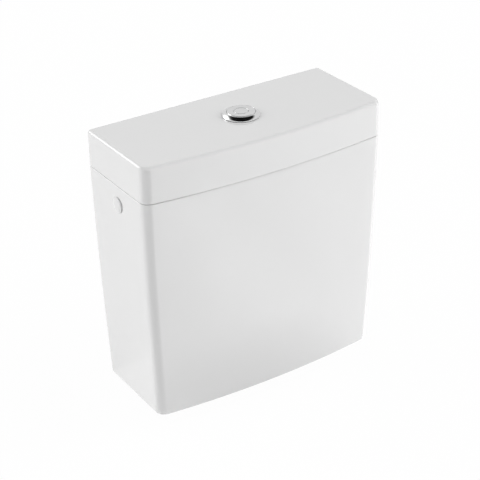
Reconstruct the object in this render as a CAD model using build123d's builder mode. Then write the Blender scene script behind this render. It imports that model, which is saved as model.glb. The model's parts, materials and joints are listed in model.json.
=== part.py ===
from build123d import *
import math
import os

# Close-coupled toilet cistern with a box lid, a dual-flush button and its valves.
# Millimetres. The origin is on the outlet's axis, in the plane that the ceramic foot stands on.
# The button stands over the outlet, and the ceramic's middle is a little to their left.
# +Z is up, the front faces -Y and the water inlet is on the +X side.

os.makedirs("parts", exist_ok=True)

# Ceramic body
cistern_height = 388.0
cistern_width = 380.0
base_width = 360.0
side_depth = 151.6
base_side_depth = 142.3
front_bow = 10.0
base_front_bow = 11.7
width_curve_share = 0.65
depth_curve_share = 0.13
outlet_behind_middle = 10.85
outlet_right_of_middle = 3.5
front_corner = 14.6
back_corner = 6.0
inner_corner = 6.0
wall = 9.5
floor_thickness = 11.0
base_recess = 10.0
foot_width = 12.0
base_round = 3.0
rim_round = 1.2
section_shares = (0.0, 0.18, 0.36, 0.54, 0.72, 0.88, 1.0)

# Lid
lid_height = 52.0
lid_draft = 1.4
lid_front_bow = 12.9
lid_thickness = 9.0
lid_round = 4.7
lip_depth = 8.0
lip_gap = 2.5
lip_width = 6.0
shelf_height = 10.0
pad_thickness = 0.8
pad_width = 5.0
pad_length = 16.0
pad_spacing = 84.0

# Holes in the ceramic
outlet_hole_radius = 32.0
bolt_hole_radius = 6.5
bolt_offset = 78.0
side_hole_radius = 8.8
side_seat_radius = 11.6
side_seat_depth = 0.4
side_boss_radius = 16.0
side_boss_height = 0.8
inlet_below_rim = 27.2
inlet_from_back = 79.0
fixing_hole_radius = 4.0
fixing_spacing = 220.0
fixing_below_rim = 45.0

# Clearances and the overrun of every cut
slip = 0.1
fit_gap = 0.3
thread_gap = 0.05
pin_gap = 0.05
overrun = 20.0

# Button set
button_hole_radius = 22.3
gasket_thickness = 0.6
gasket_width = 3.0
bezel_radius = 26.1
bezel_height = 5.2
bezel_edge = 1.3
bezel_lip_width = 1.0
shoulder_bulge = 0.7
sleeve_radius = 21.8
sleeve_wall = 1.9
sleeve_length = 38.6
clamp_nut_radius = 29.0
clamp_nut_height = 7.0
clamp_lug_radius = 32.0
clamp_lug_width = 7.0
clamp_lug_count = 6
button_stand = 0.5
button_thickness = 3.0
button_round = 0.8
button_skirt = 14.0
skirt_wall = 1.8
half_button_radius = 9.9
half_button_wall = 1.5
inner_sleeve_wall = 1.8
inner_sleeve_length = 18.0
boss_radius = 3.9
boss_length = 28.0
rod_radius = 2.5
rod_socket_depth = 14.0
rod_offset = 15.2
guide_thickness = 4.0
guide_recess = 2.0
full_spring_radius = 10.6
full_spring_wire = 0.45
full_spring_turns = 5
half_spring_radius = 5.6
half_spring_wire = 0.4
half_spring_turns = 7

# Flush valve base and what holds it in the floor
tail_radius = 29.8
tail_bore = 24.5
tail_below_foot = 21.0
base_washer_thickness = 3.0
flange_radius = 40.0
flange_thickness = 4.0
throat_radius = 31.0
throat_bore = 25.5
throat_height = 10.0
seat_bead_width = 1.6
seat_bead_height = 1.0
spider_height = 14.0
spider_below_floor = 5.0
spider_ring_wall = 2.6
spider_rib_width = 3.0
spider_rib_count = 4
backnut_height = 13.0
backnut_radius = 37.5
backnut_lug_radius = 40.5
backnut_lug_width = 9.0
backnut_lug_count = 8
pan_seal_height = 20.0
pan_seal_radius = 43.0
pan_seal_round = 4.0

# Overflow tube with its seal and float
tube_radius = 14.0
tube_wall = 2.0
tube_below_floor = 4.0
overflow_below_inlet = 46.0
seal_thickness = 3.0
seal_radius = 29.6
seal_plate_thickness = 3.0
seal_plate_radius = 28.0
seal_nut_height = 4.0
seal_nut_radius = 19.0
float_radius = 29.0
float_share = 0.477
float_wall = 2.0
float_sleeve_wall = 2.0
float_below_drum_top = 21.0

# Valve cage and mast
cage_radius = 36.0
cage_ring_wall = 4.4
cage_ring_height = 8.0
cage_window_height = 26.0
cage_leg_width = 12.0
cage_leg_count = 4
drum_share = 0.506
drum_wall = 3.0
drum_top_thickness = 3.0
neck_wall = 3.6
neck_share = 0.23
rod_eye_thickness = 4.0
rod_eye_width = 14.0
rod_eye_margin = 6.0
mast_leg_length = 10.0
mast_leg_thickness = 4.0
mast_leg_start = 12.0
mast_leg_gap = 4.8
mast_base_height = 5.0

# Levers on the bridge
lever_axis_below_rim = 47.2
lever_rod_arm = 22.0
lever_lift_arm = 30.0
lever_width = 6.0
lever_half_thickness = 2.0
rod_nose_radius = 3.0
lift_nose_radius = 2.5
lever_hub_radius = 5.0
lever_pin_radius = 2.0
lever_pin_head_radius = 3.4
lever_pin_head = 1.5
bridge_thickness = 3.0
bridge_drop = 9.0
bridge_length = 24.0
cheek_thickness = 3.3
cheek_length = 12.0
cheek_above_axis = 6.0
lever_side_gap = 0.7

# Lift collar and half flush rod
collar_wall = 5.0
collar_height = 14.0
collar_below_tube_top = 12.0
arm_width = 8.0
arm_height = 10.0
stirrup_length = 8.0
stirrup_width = 14.0
stirrup_bar = 6.0
stirrup_window = 24.0
pull_rod_radius = 2.5
pull_rod_foot_radius = 5.0
pull_rod_foot = 4.0
pull_rod_drop = 9.0
half_float_length = 24.0
half_float_width = 30.0
half_float_share = 0.384
half_float_wall = 2.0
half_float_round = 4.0

# Fill valve
thread_radius = 8.33
shank_radius = 8.1
inlet_bore = 5.0
collar_flange_radius = 14.0
collar_flange = 3.0
inner_washer = 2.0
outer_washer = 1.5
outer_washer_radius = 11.3
inlet_nut_width = 22.0
inlet_nut_height = 6.5
inlet_thread_length = 15.0
nozzle_radius = 8.0
nozzle_length = 6.5
barrel_radius = 11.0
barrel_bore = 8.1
bore_past_head = 10.0
head_from_end = 32.0
head_radius = 13.0
head_height = 16.0
diaphragm_thickness = 1.6
cap_radius = 16.0
cap_skirt = 5.6
cap_thickness = 4.0
pilot_hole_radius = 1.5
ear_thickness = 3.0
ear_length = 8.0
ear_above_axis = 4.5
float_axis_above_cap = 9.0
float_axis_from_head = 12.0
float_lever_arm = 28.0
pilot_arm = 10.0
float_lever_width = 6.0
float_lever_half_thickness = 2.5
float_lever_hub = 4.5
float_pin_radius = 1.5
pilot_pad_radius = 2.5
pilot_pad_height = 1.5
spout_radius = 8.0
spout_length = 23.0
spout_from_collar = 14.5
silencer_wall = 1.7
silencer_overlap = 5.0
silencer_above_floor = 19.0
silencer_side_gap = 2.7
column_radius = 6.0
column_from_end = 10.0
column_length = 117.0
column_foot_radius = 9.0
column_foot = 4.0
column_ring_width = 10.0
column_ring_wall = 3.0
inlet_float_radius = 26.0
inlet_float_height = 55.0
inlet_float_wall = 2.0
inlet_float_side_gap = 6.2
float_rod_radius = 2.5
float_rod_round = 1.5
float_rod_nut_radius = 5.0
float_rod_nut_height = 4.0

# Blanking plug
plug_washer = 0.8
plug_washer_inset = 0.8
plug_head_radius = 11.1
plug_head_edge = 1.3
plug_head_height = 2.9
plug_shank_wall = 2.0
plug_nut_radius = 13.0
plug_nut_height = 5.0
plug_nut_sides = 8
plug_end = 2.0

# Coupling bolts
bolt_radius = 4.0
bolt_shank_radius = 3.8
bolt_head_width = 13.0
bolt_head_height = 5.5
bolt_tip_above_seal_face = 1.5
cone_washer_radius = 12.0
cone_washer_top_radius = 8.0
cone_washer_flange = 4.0
cone_washer_height = 10.0
cone_spigot_length = 3.0
steel_washer_radius = 8.5
steel_washer_thickness = 1.6
outer_rubber_radius = 11.0
outer_rubber_thickness = 2.0
plate_washer_radius = 12.0
wing_nut_height = 10.4
wing_hub_radius = 6.5
wing_span = 30.0
wing_thickness = 2.6
wing_height = 8.0

# Places and levels that follow from the sizes above
outlet_from_back = base_side_depth / 2 + outlet_behind_middle
middle_x = -outlet_right_of_middle
floor_top = base_recess + floor_thickness
lid_bottom = cistern_height - lid_height
lid_top_width = cistern_width - lid_draft
rim_top = lid_bottom - pad_thickness
lid_ceiling = cistern_height - lid_thickness
inlet_z = rim_top - inlet_below_rim
inlet_y = outlet_from_back - inlet_from_back
bezel_base = cistern_height + gasket_thickness
bezel_top = bezel_base + bezel_height
sleeve_bore = sleeve_radius - sleeve_wall
sleeve_bottom = bezel_base - sleeve_length
button_top = bezel_top + button_stand
button_radius = sleeve_bore - fit_gap
guide_bottom = sleeve_bottom + guide_recess
guide_top = guide_bottom + guide_thickness
boss_bottom = button_top - boss_length
rod_top = boss_bottom + rod_socket_depth
flange_bottom = floor_top + base_washer_thickness
flange_top = flange_bottom + flange_thickness
throat_top = flange_top + throat_height
seat_top = throat_top + seat_bead_height
seal_bottom = seat_top + slip
plate_bottom = seal_bottom + seal_thickness
tube_top = inlet_z - overflow_below_inlet
tube_bottom = floor_top - tube_below_floor
window_bottom = flange_top + cage_ring_height
drum_bottom = window_bottom + cage_window_height
collar_radius = tube_radius + thread_gap + collar_wall
collar_top = tube_top - collar_below_tube_top
collar_bottom = collar_top - collar_height
cage_room = collar_bottom - drum_bottom
drum_top = drum_bottom + cage_room * drum_share
neck_top = drum_top + cage_room * neck_share
lever_z = rim_top - lever_axis_below_rim
lift_x = lever_rod_arm + lever_lift_arm
rod_bottom = lever_z + rod_nose_radius + fit_gap
stirrup_ceiling = lever_z + lift_nose_radius + fit_gap
bridge_top = lever_z - bridge_drop
bridge_bottom = bridge_top - bridge_thickness
backnut_bottom = base_recess - backnut_height
pan_seal_bottom = backnut_bottom - pan_seal_height


def curved(top_value, base_value, curve_share, height):
    """A size that changes from the seam to the base, faster towards the base."""
    share = 1 - height / rim_top
    bent = (1 - curve_share) * share + curve_share * share**2
    return top_value + (base_value - top_value) * bent


def draw_outline(level, half_width, side_front, bow, inset, front_radius, back_radius):
    """A plan of the cistern at one level: straight back and sides, and a bowed front."""
    left = middle_x - half_width + inset
    right = middle_x + half_width - inset
    back = outlet_from_back - inset
    corner = side_front + inset
    with BuildSketch(Plane.XY.offset(level)) as plan:
        with BuildLine():
            back_line = Line((left, back), (right, back))
            right_line = Line(back_line @ 1, (right, corner))
            front_arc = ThreePointArc(right_line @ 1, (middle_x, corner - bow), (left, corner))
            Line(front_arc @ 1, back_line @ 0)
        make_face()
        fillet(plan.vertices().group_by(Axis.Y)[-1], radius=back_radius)
        fillet(plan.vertices().group_by(Axis.Y)[0], radius=front_radius)
    return plan.sketch


def tank_outline(height, inset=0.0, front_radius=front_corner, back_radius=back_corner, level=None):
    """The tank's plan at a height, drawn there or at another level."""
    half_width = curved(cistern_width, base_width, width_curve_share, height) / 2
    depth = curved(side_depth, base_side_depth, depth_curve_share, height)
    bow = curved(front_bow, base_front_bow, depth_curve_share, height)
    level = height if level is None else level
    return draw_outline(level, half_width, outlet_from_back - depth, bow, inset, front_radius, back_radius)


def lid_outline(height, width, inset=0.0, front_radius=front_corner, back_radius=back_corner):
    side_front = outlet_from_back - side_depth
    return draw_outline(height, width / 2, side_front, lid_front_bow, inset, front_radius, back_radius)


def disc(bottom, top, outer, inner=0.0, centre=(0, 0), mode=Mode.ADD):
    """A round disc or ring between two levels."""
    with BuildSketch(Plane.XY.offset(bottom)) as profile:
        with Locations(centre):
            Circle(outer)
            if inner > 0:
                Circle(inner, mode=Mode.SUBTRACT)
    extrude(profile.sketch, amount=top - bottom, mode=mode)


def block(low, high, mode=Mode.ADD):
    """A box between two corners."""
    with BuildSketch(Plane.XY.offset(low[2])) as profile:
        with Locations(((low[0] + high[0]) / 2, (low[1] + high[1]) / 2)):
            Rectangle(high[0] - low[0], high[1] - low[1])
    extrude(profile.sketch, amount=high[2] - low[2], mode=mode)


def cross_disc(start, end, outer, inner=0.0, centre=(0, 0), mode=Mode.ADD):
    """A disc or ring whose axis runs along X, between two distances from the middle."""
    with BuildSketch(Plane.YZ.offset(start)) as profile:
        with Locations(centre):
            Circle(outer)
            if inner > 0:
                Circle(inner, mode=Mode.SUBTRACT)
    extrude(profile.sketch, amount=end - start, mode=mode)


def deep_disc(front, back, outer, inner=0.0, centre=(0, 0), mode=Mode.ADD):
    """A disc or ring whose axis runs along Y, between a front and a back face."""
    with BuildSketch(Plane.XZ.offset(-back)) as profile:
        with Locations(centre):
            Circle(outer)
            if inner > 0:
                Circle(inner, mode=Mode.SUBTRACT)
    extrude(profile.sketch, amount=back - front, mode=mode)


def lugged_nut(bottom, height, radius, bore, lug_radius, lug_width, lug_count):
    """A round nut with grip lugs on its rim."""
    lug_length = lug_radius - bore
    with BuildSketch(Plane.XY.offset(bottom)) as profile:
        Circle(radius)
        with PolarLocations(bore + lug_length / 2, lug_count):
            Rectangle(lug_length, lug_width)
        Circle(bore, mode=Mode.SUBTRACT)
    extrude(profile.sketch, amount=height)


def coil(bottom, top, radius, wire, turns):
    """A spring's wire: quarter turns, each of two arcs that meet without a corner."""
    quarters = 4 * turns
    start = bottom + wire + slip
    rise = (top - bottom - 2 * (wire + slip)) / quarters

    def point(step):
        angle = step * math.pi / 2
        return Vector(radius * math.cos(angle), radius * math.sin(angle), start + rise * step)

    def heading(step):
        angle = step * math.pi / 2
        quarter_length = radius * math.pi / 2
        return Vector(-math.sin(angle), math.cos(angle), rise / quarter_length).normalized()

    with BuildLine() as path:
        for step in range(quarters):
            near, far = point(step), point(step + 1)
            near_way, far_way = heading(step), heading(step + 1)
            chord = far - near
            bend = 2 * (1 - near_way.dot(far_way))
            push = chord.dot(near_way + far_way)
            reach = (math.sqrt(push**2 + bend * chord.dot(chord)) - push) / bend
            middle_way = (far - far_way * reach) - (near + near_way * reach)
            middle = near + near_way * reach + middle_way / 2
            TangentArc(near, middle, tangent=near_way)
            TangentArc(middle, far, tangent=middle_way)
    with BuildSketch(Plane(origin=point(0), z_dir=heading(0))) as section:
        Circle(wire)
    sweep(section.sketch, path=path.line)
    spacing = min((point(step + 4) - point(step)).length for step in range(quarters - 3))
    print("least gap between the coil's turns", round(spacing - 2 * wire, 2))


inlet_axis = (inlet_y, inlet_z)
half_at_inlet = curved(cistern_width, base_width, width_curve_share, inlet_z) / 2
side_seat = half_at_inlet - side_seat_depth
side_boss = half_at_inlet - wall - side_boss_height

# Tank
with BuildPart() as tank:
    loft([tank_outline(rim_top * share) for share in section_shares])
    fillet(tank.faces().sort_by(Axis.Z)[0].edges(), radius=base_round)
    fillet(tank.faces().sort_by(Axis.Z)[-1].edges(), radius=rim_round)
    cavity_height = rim_top + overrun - floor_top
    levels = [floor_top + cavity_height * share for share in section_shares]
    loft([tank_outline(level, wall, inner_corner, inner_corner) for level in levels], mode=Mode.SUBTRACT)
    extrude(tank_outline(0.0, foot_width, inner_corner, inner_corner), amount=base_recess,
            mode=Mode.SUBTRACT)
    for side in (-1, 1):
        boss_x = middle_x + side * side_boss
        seat_x = middle_x + side * side_seat
        cross_disc(boss_x, boss_x + side * wall / 2, side_boss_radius, 0.0, inlet_axis)
        cross_disc(seat_x, seat_x + side * overrun, side_seat_radius, 0.0, inlet_axis,
                   mode=Mode.SUBTRACT)
        cross_disc(boss_x - side * overrun, boss_x + side * overrun, side_hole_radius, 0.0, inlet_axis,
                   mode=Mode.SUBTRACT)
        disc(0.0, floor_top + overrun, bolt_hole_radius, centre=(side * bolt_offset, 0),
             mode=Mode.SUBTRACT)
    disc(0.0, floor_top + overrun, outlet_hole_radius, mode=Mode.SUBTRACT)
    with BuildSketch(Plane.XZ.offset(-outlet_from_back - overrun)) as fixings:
        with Locations((middle_x, rim_top - fixing_below_rim)):
            with GridLocations(fixing_spacing, 0, 2, 1):
                Circle(fixing_hole_radius)
    extrude(fixings.sketch, amount=wall + 2 * overrun, mode=Mode.SUBTRACT)
tank.part.label = "cistern_tank"
export_step(tank.part, "parts/cistern_tank.step")

# Lid
with BuildPart() as lid:
    loft([lid_outline(lid_bottom, cistern_width), lid_outline(cistern_height, lid_top_width)])
    fillet(lid.faces().sort_by(Axis.Z)[-1].edges(), radius=lid_round)
    fillet(lid.faces().sort_by(Axis.Z)[0].edges(), radius=rim_round)
    hollow_bottom = lid_bottom + shelf_height
    extrude(lid_outline(hollow_bottom, lid_top_width, lid_thickness, inner_corner, inner_corner),
            amount=lid_ceiling - hollow_bottom, mode=Mode.SUBTRACT)
    lip_bottom = lid_bottom - lip_depth
    lip_inset = wall + lip_gap
    extrude(tank_outline(rim_top, lip_inset, inner_corner, inner_corner, lip_bottom),
            amount=lip_depth + shelf_height / 2)
    extrude(tank_outline(rim_top, lip_inset + lip_width, inner_corner, inner_corner, lip_bottom),
            amount=lip_depth + shelf_height, mode=Mode.SUBTRACT)
    disc(lid_ceiling - overrun, cistern_height + overrun, button_hole_radius, mode=Mode.SUBTRACT)
lid.part.label = "cistern_lid"
export_step(lid.part, "parts/cistern_lid.step")

# Pads between the rim and the lid
with BuildPart() as lid_pads:
    pad_reach = (cistern_width - wall) / 2
    side_middle = outlet_from_back - side_depth / 2
    for x in (middle_x - pad_reach, middle_x + pad_reach):
        for y in (side_middle - pad_spacing / 2, side_middle + pad_spacing / 2):
            block((x - pad_width / 2, y - pad_length / 2, rim_top),
                  (x + pad_width / 2, y + pad_length / 2, lid_bottom))
lid_pads.part.label = "lid_pads"
export_step(lid_pads.part, "parts/lid_pads.step")

# Bezel with its sleeve through the lid
with BuildPart() as bezel:
    with BuildSketch(Plane.XZ):
        with BuildLine():
            shoulder_top = (sleeve_bore + bezel_lip_width, bezel_top)
            shoulder_foot = (bezel_radius, bezel_base + bezel_edge)
            shoulder_middle = ((shoulder_top[0] + shoulder_foot[0] + shoulder_bulge) / 2,
                               (shoulder_top[1] + shoulder_foot[1] + shoulder_bulge) / 2)
            Polyline(shoulder_top, (sleeve_bore, bezel_top), (sleeve_bore, sleeve_bottom),
                     (sleeve_radius, sleeve_bottom), (sleeve_radius, bezel_base),
                     (bezel_radius, bezel_base), shoulder_foot)
            ThreePointArc(shoulder_foot, shoulder_middle, shoulder_top)
        make_face()
    revolve(axis=Axis.Z)
bezel.part.label = "button_bezel"
export_step(bezel.part, "parts/button_bezel.step")

with BuildPart() as gasket:
    disc(cistern_height, bezel_base, sleeve_radius + fit_gap + gasket_width, sleeve_radius + fit_gap)
gasket.part.label = "bezel_gasket"
export_step(gasket.part, "parts/bezel_gasket.step")

with BuildPart() as clamp_nut:
    lugged_nut(lid_ceiling - clamp_nut_height, clamp_nut_height, clamp_nut_radius,
               sleeve_radius + thread_gap, clamp_lug_radius, clamp_lug_width, clamp_lug_count)
clamp_nut.part.label = "bezel_clamp_nut"
export_step(clamp_nut.part, "parts/bezel_clamp_nut.step")

# Plate in the sleeve that guides both rods and carries the springs
with BuildPart() as guide:
    disc(guide_bottom, guide_top, sleeve_bore - thread_gap)
    disc(guide_bottom, guide_top, rod_radius + fit_gap, mode=Mode.SUBTRACT)
    disc(guide_bottom, guide_top, rod_radius + fit_gap, centre=(0, -rod_offset), mode=Mode.SUBTRACT)
guide.part.label = "button_guide"
export_step(guide.part, "parts/button_guide.step")

# Buttons: a ring for the full flush, with a small round one in its middle
with BuildPart() as full_button:
    centre_bore = half_button_radius + fit_gap
    disc(button_top - button_thickness, button_top, button_radius, centre_bore)
    fillet(full_button.faces().sort_by(Axis.Z)[-1].edges(), radius=button_round)
    skirt_top = button_top - button_thickness
    disc(button_top - button_skirt, skirt_top, button_radius, button_radius - skirt_wall)
    disc(button_top - inner_sleeve_length, skirt_top, centre_bore + inner_sleeve_wall, centre_bore)
    disc(boss_bottom, skirt_top, boss_radius, centre=(0, -rod_offset))
    disc(boss_bottom, rod_top, rod_radius + thread_gap, centre=(0, -rod_offset), mode=Mode.SUBTRACT)
full_button.part.label = "full_flush_button"
export_step(full_button.part, "parts/full_flush_button.step")

with BuildPart() as half_button:
    disc(button_top - button_thickness, button_top, half_button_radius)
    fillet(half_button.faces().sort_by(Axis.Z)[-1].edges(), radius=button_round)
    disc(button_top - button_skirt, skirt_top, half_button_radius, half_button_radius - half_button_wall)
    disc(boss_bottom, skirt_top, boss_radius)
    disc(boss_bottom, rod_top, rod_radius + thread_gap, mode=Mode.SUBTRACT)
half_button.part.label = "half_flush_button"
export_step(half_button.part, "parts/half_flush_button.step")

# Return springs
with BuildPart() as full_spring:
    coil(guide_top, button_top - inner_sleeve_length, full_spring_radius, full_spring_wire,
         full_spring_turns)
full_spring.part.label = "full_button_spring"
export_step(full_spring.part, "parts/full_button_spring.step")

with BuildPart() as half_spring:
    coil(guide_top, skirt_top, half_spring_radius, half_spring_wire, half_spring_turns)
half_spring.part.label = "half_button_spring"
export_step(half_spring.part, "parts/half_button_spring.step")

# Push rods
with BuildPart() as full_rod:
    disc(rod_bottom, rod_top, rod_radius, centre=(0, -rod_offset))
full_rod.part.label = "full_push_rod"
export_step(full_rod.part, "parts/full_push_rod.step")

with BuildPart() as half_rod:
    disc(rod_bottom, rod_top, rod_radius)
half_rod.part.label = "half_push_rod"
export_step(half_rod.part, "parts/half_push_rod.step")

# Flush valve base: tail, flange, throat with the seat, and the spider that guides the tube
with BuildPart() as valve_base:
    disc(-tail_below_foot, flange_bottom, tail_radius, tail_bore)
    disc(flange_bottom, flange_top, flange_radius, tail_bore)
    disc(flange_top, throat_top, throat_radius, tail_bore)
    spider_bottom = floor_top - spider_below_floor
    disc(spider_bottom, throat_top, throat_bore, mode=Mode.SUBTRACT)
    disc(throat_top, seat_top, throat_bore + seat_bead_width, throat_bore)
    spider_bore = tube_radius + fit_gap
    rib_length = throat_bore + seat_bead_width - spider_bore
    with BuildSketch(Plane.XY.offset(spider_bottom)) as spider:
        Circle(spider_bore + spider_ring_wall)
        with PolarLocations(spider_bore + rib_length / 2, spider_rib_count):
            Rectangle(rib_length, spider_rib_width)
        Circle(spider_bore, mode=Mode.SUBTRACT)
    extrude(spider.sketch, amount=spider_height)
valve_base.part.label = "valve_base"
export_step(valve_base.part, "parts/valve_base.step")

with BuildPart() as base_washer:
    disc(floor_top, flange_bottom, flange_radius, tail_radius + fit_gap)
base_washer.part.label = "base_washer"
export_step(base_washer.part, "parts/base_washer.step")

with BuildPart() as backnut:
    lugged_nut(backnut_bottom, backnut_height, backnut_radius, tail_radius + thread_gap,
               backnut_lug_radius, backnut_lug_width, backnut_lug_count)
backnut.part.label = "tail_backnut"
export_step(backnut.part, "parts/tail_backnut.step")

with BuildPart() as pan_seal:
    disc(pan_seal_bottom, backnut_bottom, pan_seal_radius)
    fillet(pan_seal.edges(), radius=pan_seal_round)
    disc(pan_seal_bottom, backnut_bottom, tail_radius + fit_gap, mode=Mode.SUBTRACT)
pan_seal.part.label = "pan_seal"
export_step(pan_seal.part, "parts/pan_seal.step")

# Overflow tube, which lifts with the seal, its plate, the float and the lift collar
sliding_bore = tube_radius + fit_gap
clamped_bore = tube_radius + thread_gap
with BuildPart() as overflow_tube:
    disc(tube_bottom, tube_top, tube_radius, tube_radius - tube_wall)
overflow_tube.part.label = "overflow_tube"
export_step(overflow_tube.part, "parts/overflow_tube.step")

with BuildPart() as seal_nut:
    disc(seal_bottom - seal_nut_height, seal_bottom, seal_nut_radius, clamped_bore)
seal_nut.part.label = "seal_nut"
export_step(seal_nut.part, "parts/seal_nut.step")

with BuildPart() as flush_seal:
    disc(seal_bottom, plate_bottom, seal_radius, clamped_bore)
flush_seal.part.label = "flush_seal"
export_step(flush_seal.part, "parts/flush_seal.step")

with BuildPart() as seal_plate:
    disc(plate_bottom, plate_bottom + seal_plate_thickness, seal_plate_radius, clamped_bore)
seal_plate.part.label = "seal_plate"
export_step(seal_plate.part, "parts/seal_plate.step")

with BuildPart() as full_float:
    float_top = drum_top - drum_top_thickness - float_below_drum_top
    float_bottom = float_top - float_share * (drum_top - drum_bottom)
    disc(float_bottom, float_top, float_radius, clamped_bore)
    disc(float_bottom, float_top - float_wall, float_radius - float_wall,
         clamped_bore + float_sleeve_wall, mode=Mode.SUBTRACT)
full_float.part.label = "full_flush_float"
export_step(full_float.part, "parts/full_flush_float.step")

with BuildPart() as lift_collar:
    disc(collar_bottom, collar_top, collar_radius)
    arm_bottom = collar_bottom + (collar_height - arm_height) / 2
    block((0, -rod_offset - arm_width / 2, arm_bottom),
          (lift_x, -rod_offset + arm_width / 2, arm_bottom + arm_height))
    block((lift_x - stirrup_length / 2, -rod_offset - stirrup_width / 2, arm_bottom),
          (lift_x + stirrup_length / 2, -rod_offset + stirrup_width / 2, stirrup_ceiling + stirrup_bar))
    window_half = lever_width / 2 + lever_side_gap
    block((lift_x - stirrup_length, -rod_offset - window_half, stirrup_ceiling - stirrup_window),
          (lift_x + stirrup_length, -rod_offset + window_half, stirrup_ceiling), mode=Mode.SUBTRACT)
    disc(collar_bottom, collar_top, clamped_bore, mode=Mode.SUBTRACT)
lift_collar.part.label = "lift_collar"
export_step(lift_collar.part, "parts/lift_collar.step")

# Cage: ring on the base, windowed legs, float drum, neck and two eyes for the half flush rod
lower_eye_bottom = drum_bottom + rod_eye_thickness
lower_eye_top = lower_eye_bottom + rod_eye_thickness
upper_eye_bottom = drum_top - drum_top_thickness - rod_eye_thickness
with BuildPart() as cage:
    cage_bore = cage_radius - cage_ring_wall
    disc(flange_top, window_bottom, cage_radius, cage_bore)
    with BuildSketch(Plane.XY.offset(window_bottom)) as legs:
        with PolarLocations(cage_radius, cage_leg_count, start_angle=180 / cage_leg_count):
            Rectangle(2 * cage_ring_wall, cage_leg_width)
        Circle(cage_radius, mode=Mode.INTERSECT)
        Circle(cage_bore, mode=Mode.SUBTRACT)
    extrude(legs.sketch, amount=cage_window_height)
    disc(drum_bottom, drum_top, cage_radius, cage_radius - drum_wall)
    disc(drum_top - drum_top_thickness, drum_top, cage_radius, sliding_bore)
    disc(drum_top, neck_top, sliding_bore + neck_wall, sliding_bore)
    for eye_bottom in (lower_eye_bottom, upper_eye_bottom):
        block((cage_radius - drum_wall / 2, -rod_eye_width / 2, eye_bottom),
              (lift_x + rod_eye_margin, rod_eye_width / 2, eye_bottom + rod_eye_thickness))
        disc(eye_bottom, eye_bottom + rod_eye_thickness, pull_rod_radius + pin_gap,
             centre=(lift_x, 0), mode=Mode.SUBTRACT)
cage.part.label = "valve_cage"
export_step(cage.part, "parts/valve_cage.step")

# Mast: two legs that carry the lever bridge
mast_front = -rod_offset - arm_width / 2 - mast_leg_gap - mast_leg_thickness
mast_back = collar_radius + mast_leg_thickness
mast_end = mast_leg_start + mast_leg_length
with BuildPart() as mast:
    block((mast_leg_start, mast_front, drum_top), (mast_end, mast_back, drum_top + mast_base_height))
    disc(drum_top, drum_top + mast_base_height, sliding_bore + neck_wall + slip, mode=Mode.SUBTRACT)
    for y in (mast_front, mast_back - mast_leg_thickness):
        block((mast_leg_start, y, drum_top), (mast_end, y + mast_leg_thickness, bridge_bottom))
mast.part.label = "valve_mast"
export_step(mast.part, "parts/valve_mast.step")

# Bridge: a plate with four cheeks for the lever pin
with BuildPart() as bridge:
    block((mast_leg_start, mast_front, bridge_bottom),
          (mast_leg_start + bridge_length, mast_back, bridge_top))
    cheek_start = lever_rod_arm - cheek_length / 2
    for lever_y in (-rod_offset, 0):
        for y in (lever_y - window_half - cheek_thickness, lever_y + window_half):
            block((cheek_start, y, bridge_bottom),
                  (cheek_start + cheek_length, y + cheek_thickness, lever_z + cheek_above_axis))
    deep_disc(mast_front, mast_back, lever_pin_radius + pin_gap, 0.0, (lever_rod_arm, lever_z),
              mode=Mode.SUBTRACT)
bridge.part.label = "lever_bridge"
export_step(bridge.part, "parts/lever_bridge.step")

with BuildPart() as lever_pin:
    pin_front = -rod_offset - window_half - cheek_thickness
    pin_back = window_half + cheek_thickness
    deep_disc(pin_front, pin_back, lever_pin_radius, 0.0, (lever_rod_arm, lever_z))
    deep_disc(pin_front - lever_pin_head, pin_front, lever_pin_head_radius, 0.0,
              (lever_rod_arm, lever_z))
lever_pin.part.label = "lever_pin"
export_step(lever_pin.part, "parts/lever_pin.step")


def flush_lever(y):
    """A lever from its push rod, over the pin, to its stirrup."""
    with BuildSketch(Plane.XZ.offset(-y - lever_width / 2)) as profile:
        with Locations((0, lever_z)):
            Circle(rod_nose_radius)
        with Locations((lift_x, lever_z)):
            Circle(lift_nose_radius)
        with Locations((lift_x / 2, lever_z)):
            Rectangle(lift_x, 2 * lever_half_thickness)
        with Locations((lever_rod_arm, lever_z)):
            Circle(lever_hub_radius)
            Circle(lever_pin_radius + pin_gap, mode=Mode.SUBTRACT)
    extrude(profile.sketch, amount=lever_width)


with BuildPart() as full_lever:
    flush_lever(-rod_offset)
full_lever.part.label = "full_flush_lever"
export_step(full_lever.part, "parts/full_flush_lever.step")

with BuildPart() as half_lever:
    flush_lever(0)
half_lever.part.label = "half_flush_lever"
export_step(half_lever.part, "parts/half_flush_lever.step")

# Half flush rod, with its stirrup and foot
with BuildPart() as pull_rod:
    stirrup_foot = stirrup_ceiling - stirrup_window - stirrup_bar
    foot_top = lower_eye_bottom - pull_rod_drop
    block((lift_x - stirrup_length / 2, -stirrup_width / 2, stirrup_foot),
          (lift_x + stirrup_length / 2, stirrup_width / 2, stirrup_ceiling + stirrup_bar))
    block((lift_x - stirrup_length, -window_half, stirrup_ceiling - stirrup_window),
          (lift_x + stirrup_length, window_half, stirrup_ceiling), mode=Mode.SUBTRACT)
    disc(foot_top, stirrup_foot, pull_rod_radius, centre=(lift_x, 0))
    disc(foot_top - pull_rod_foot, foot_top, pull_rod_foot_radius, centre=(lift_x, 0))
pull_rod.part.label = "half_pull_rod"
export_step(pull_rod.part, "parts/half_pull_rod.step")

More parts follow.
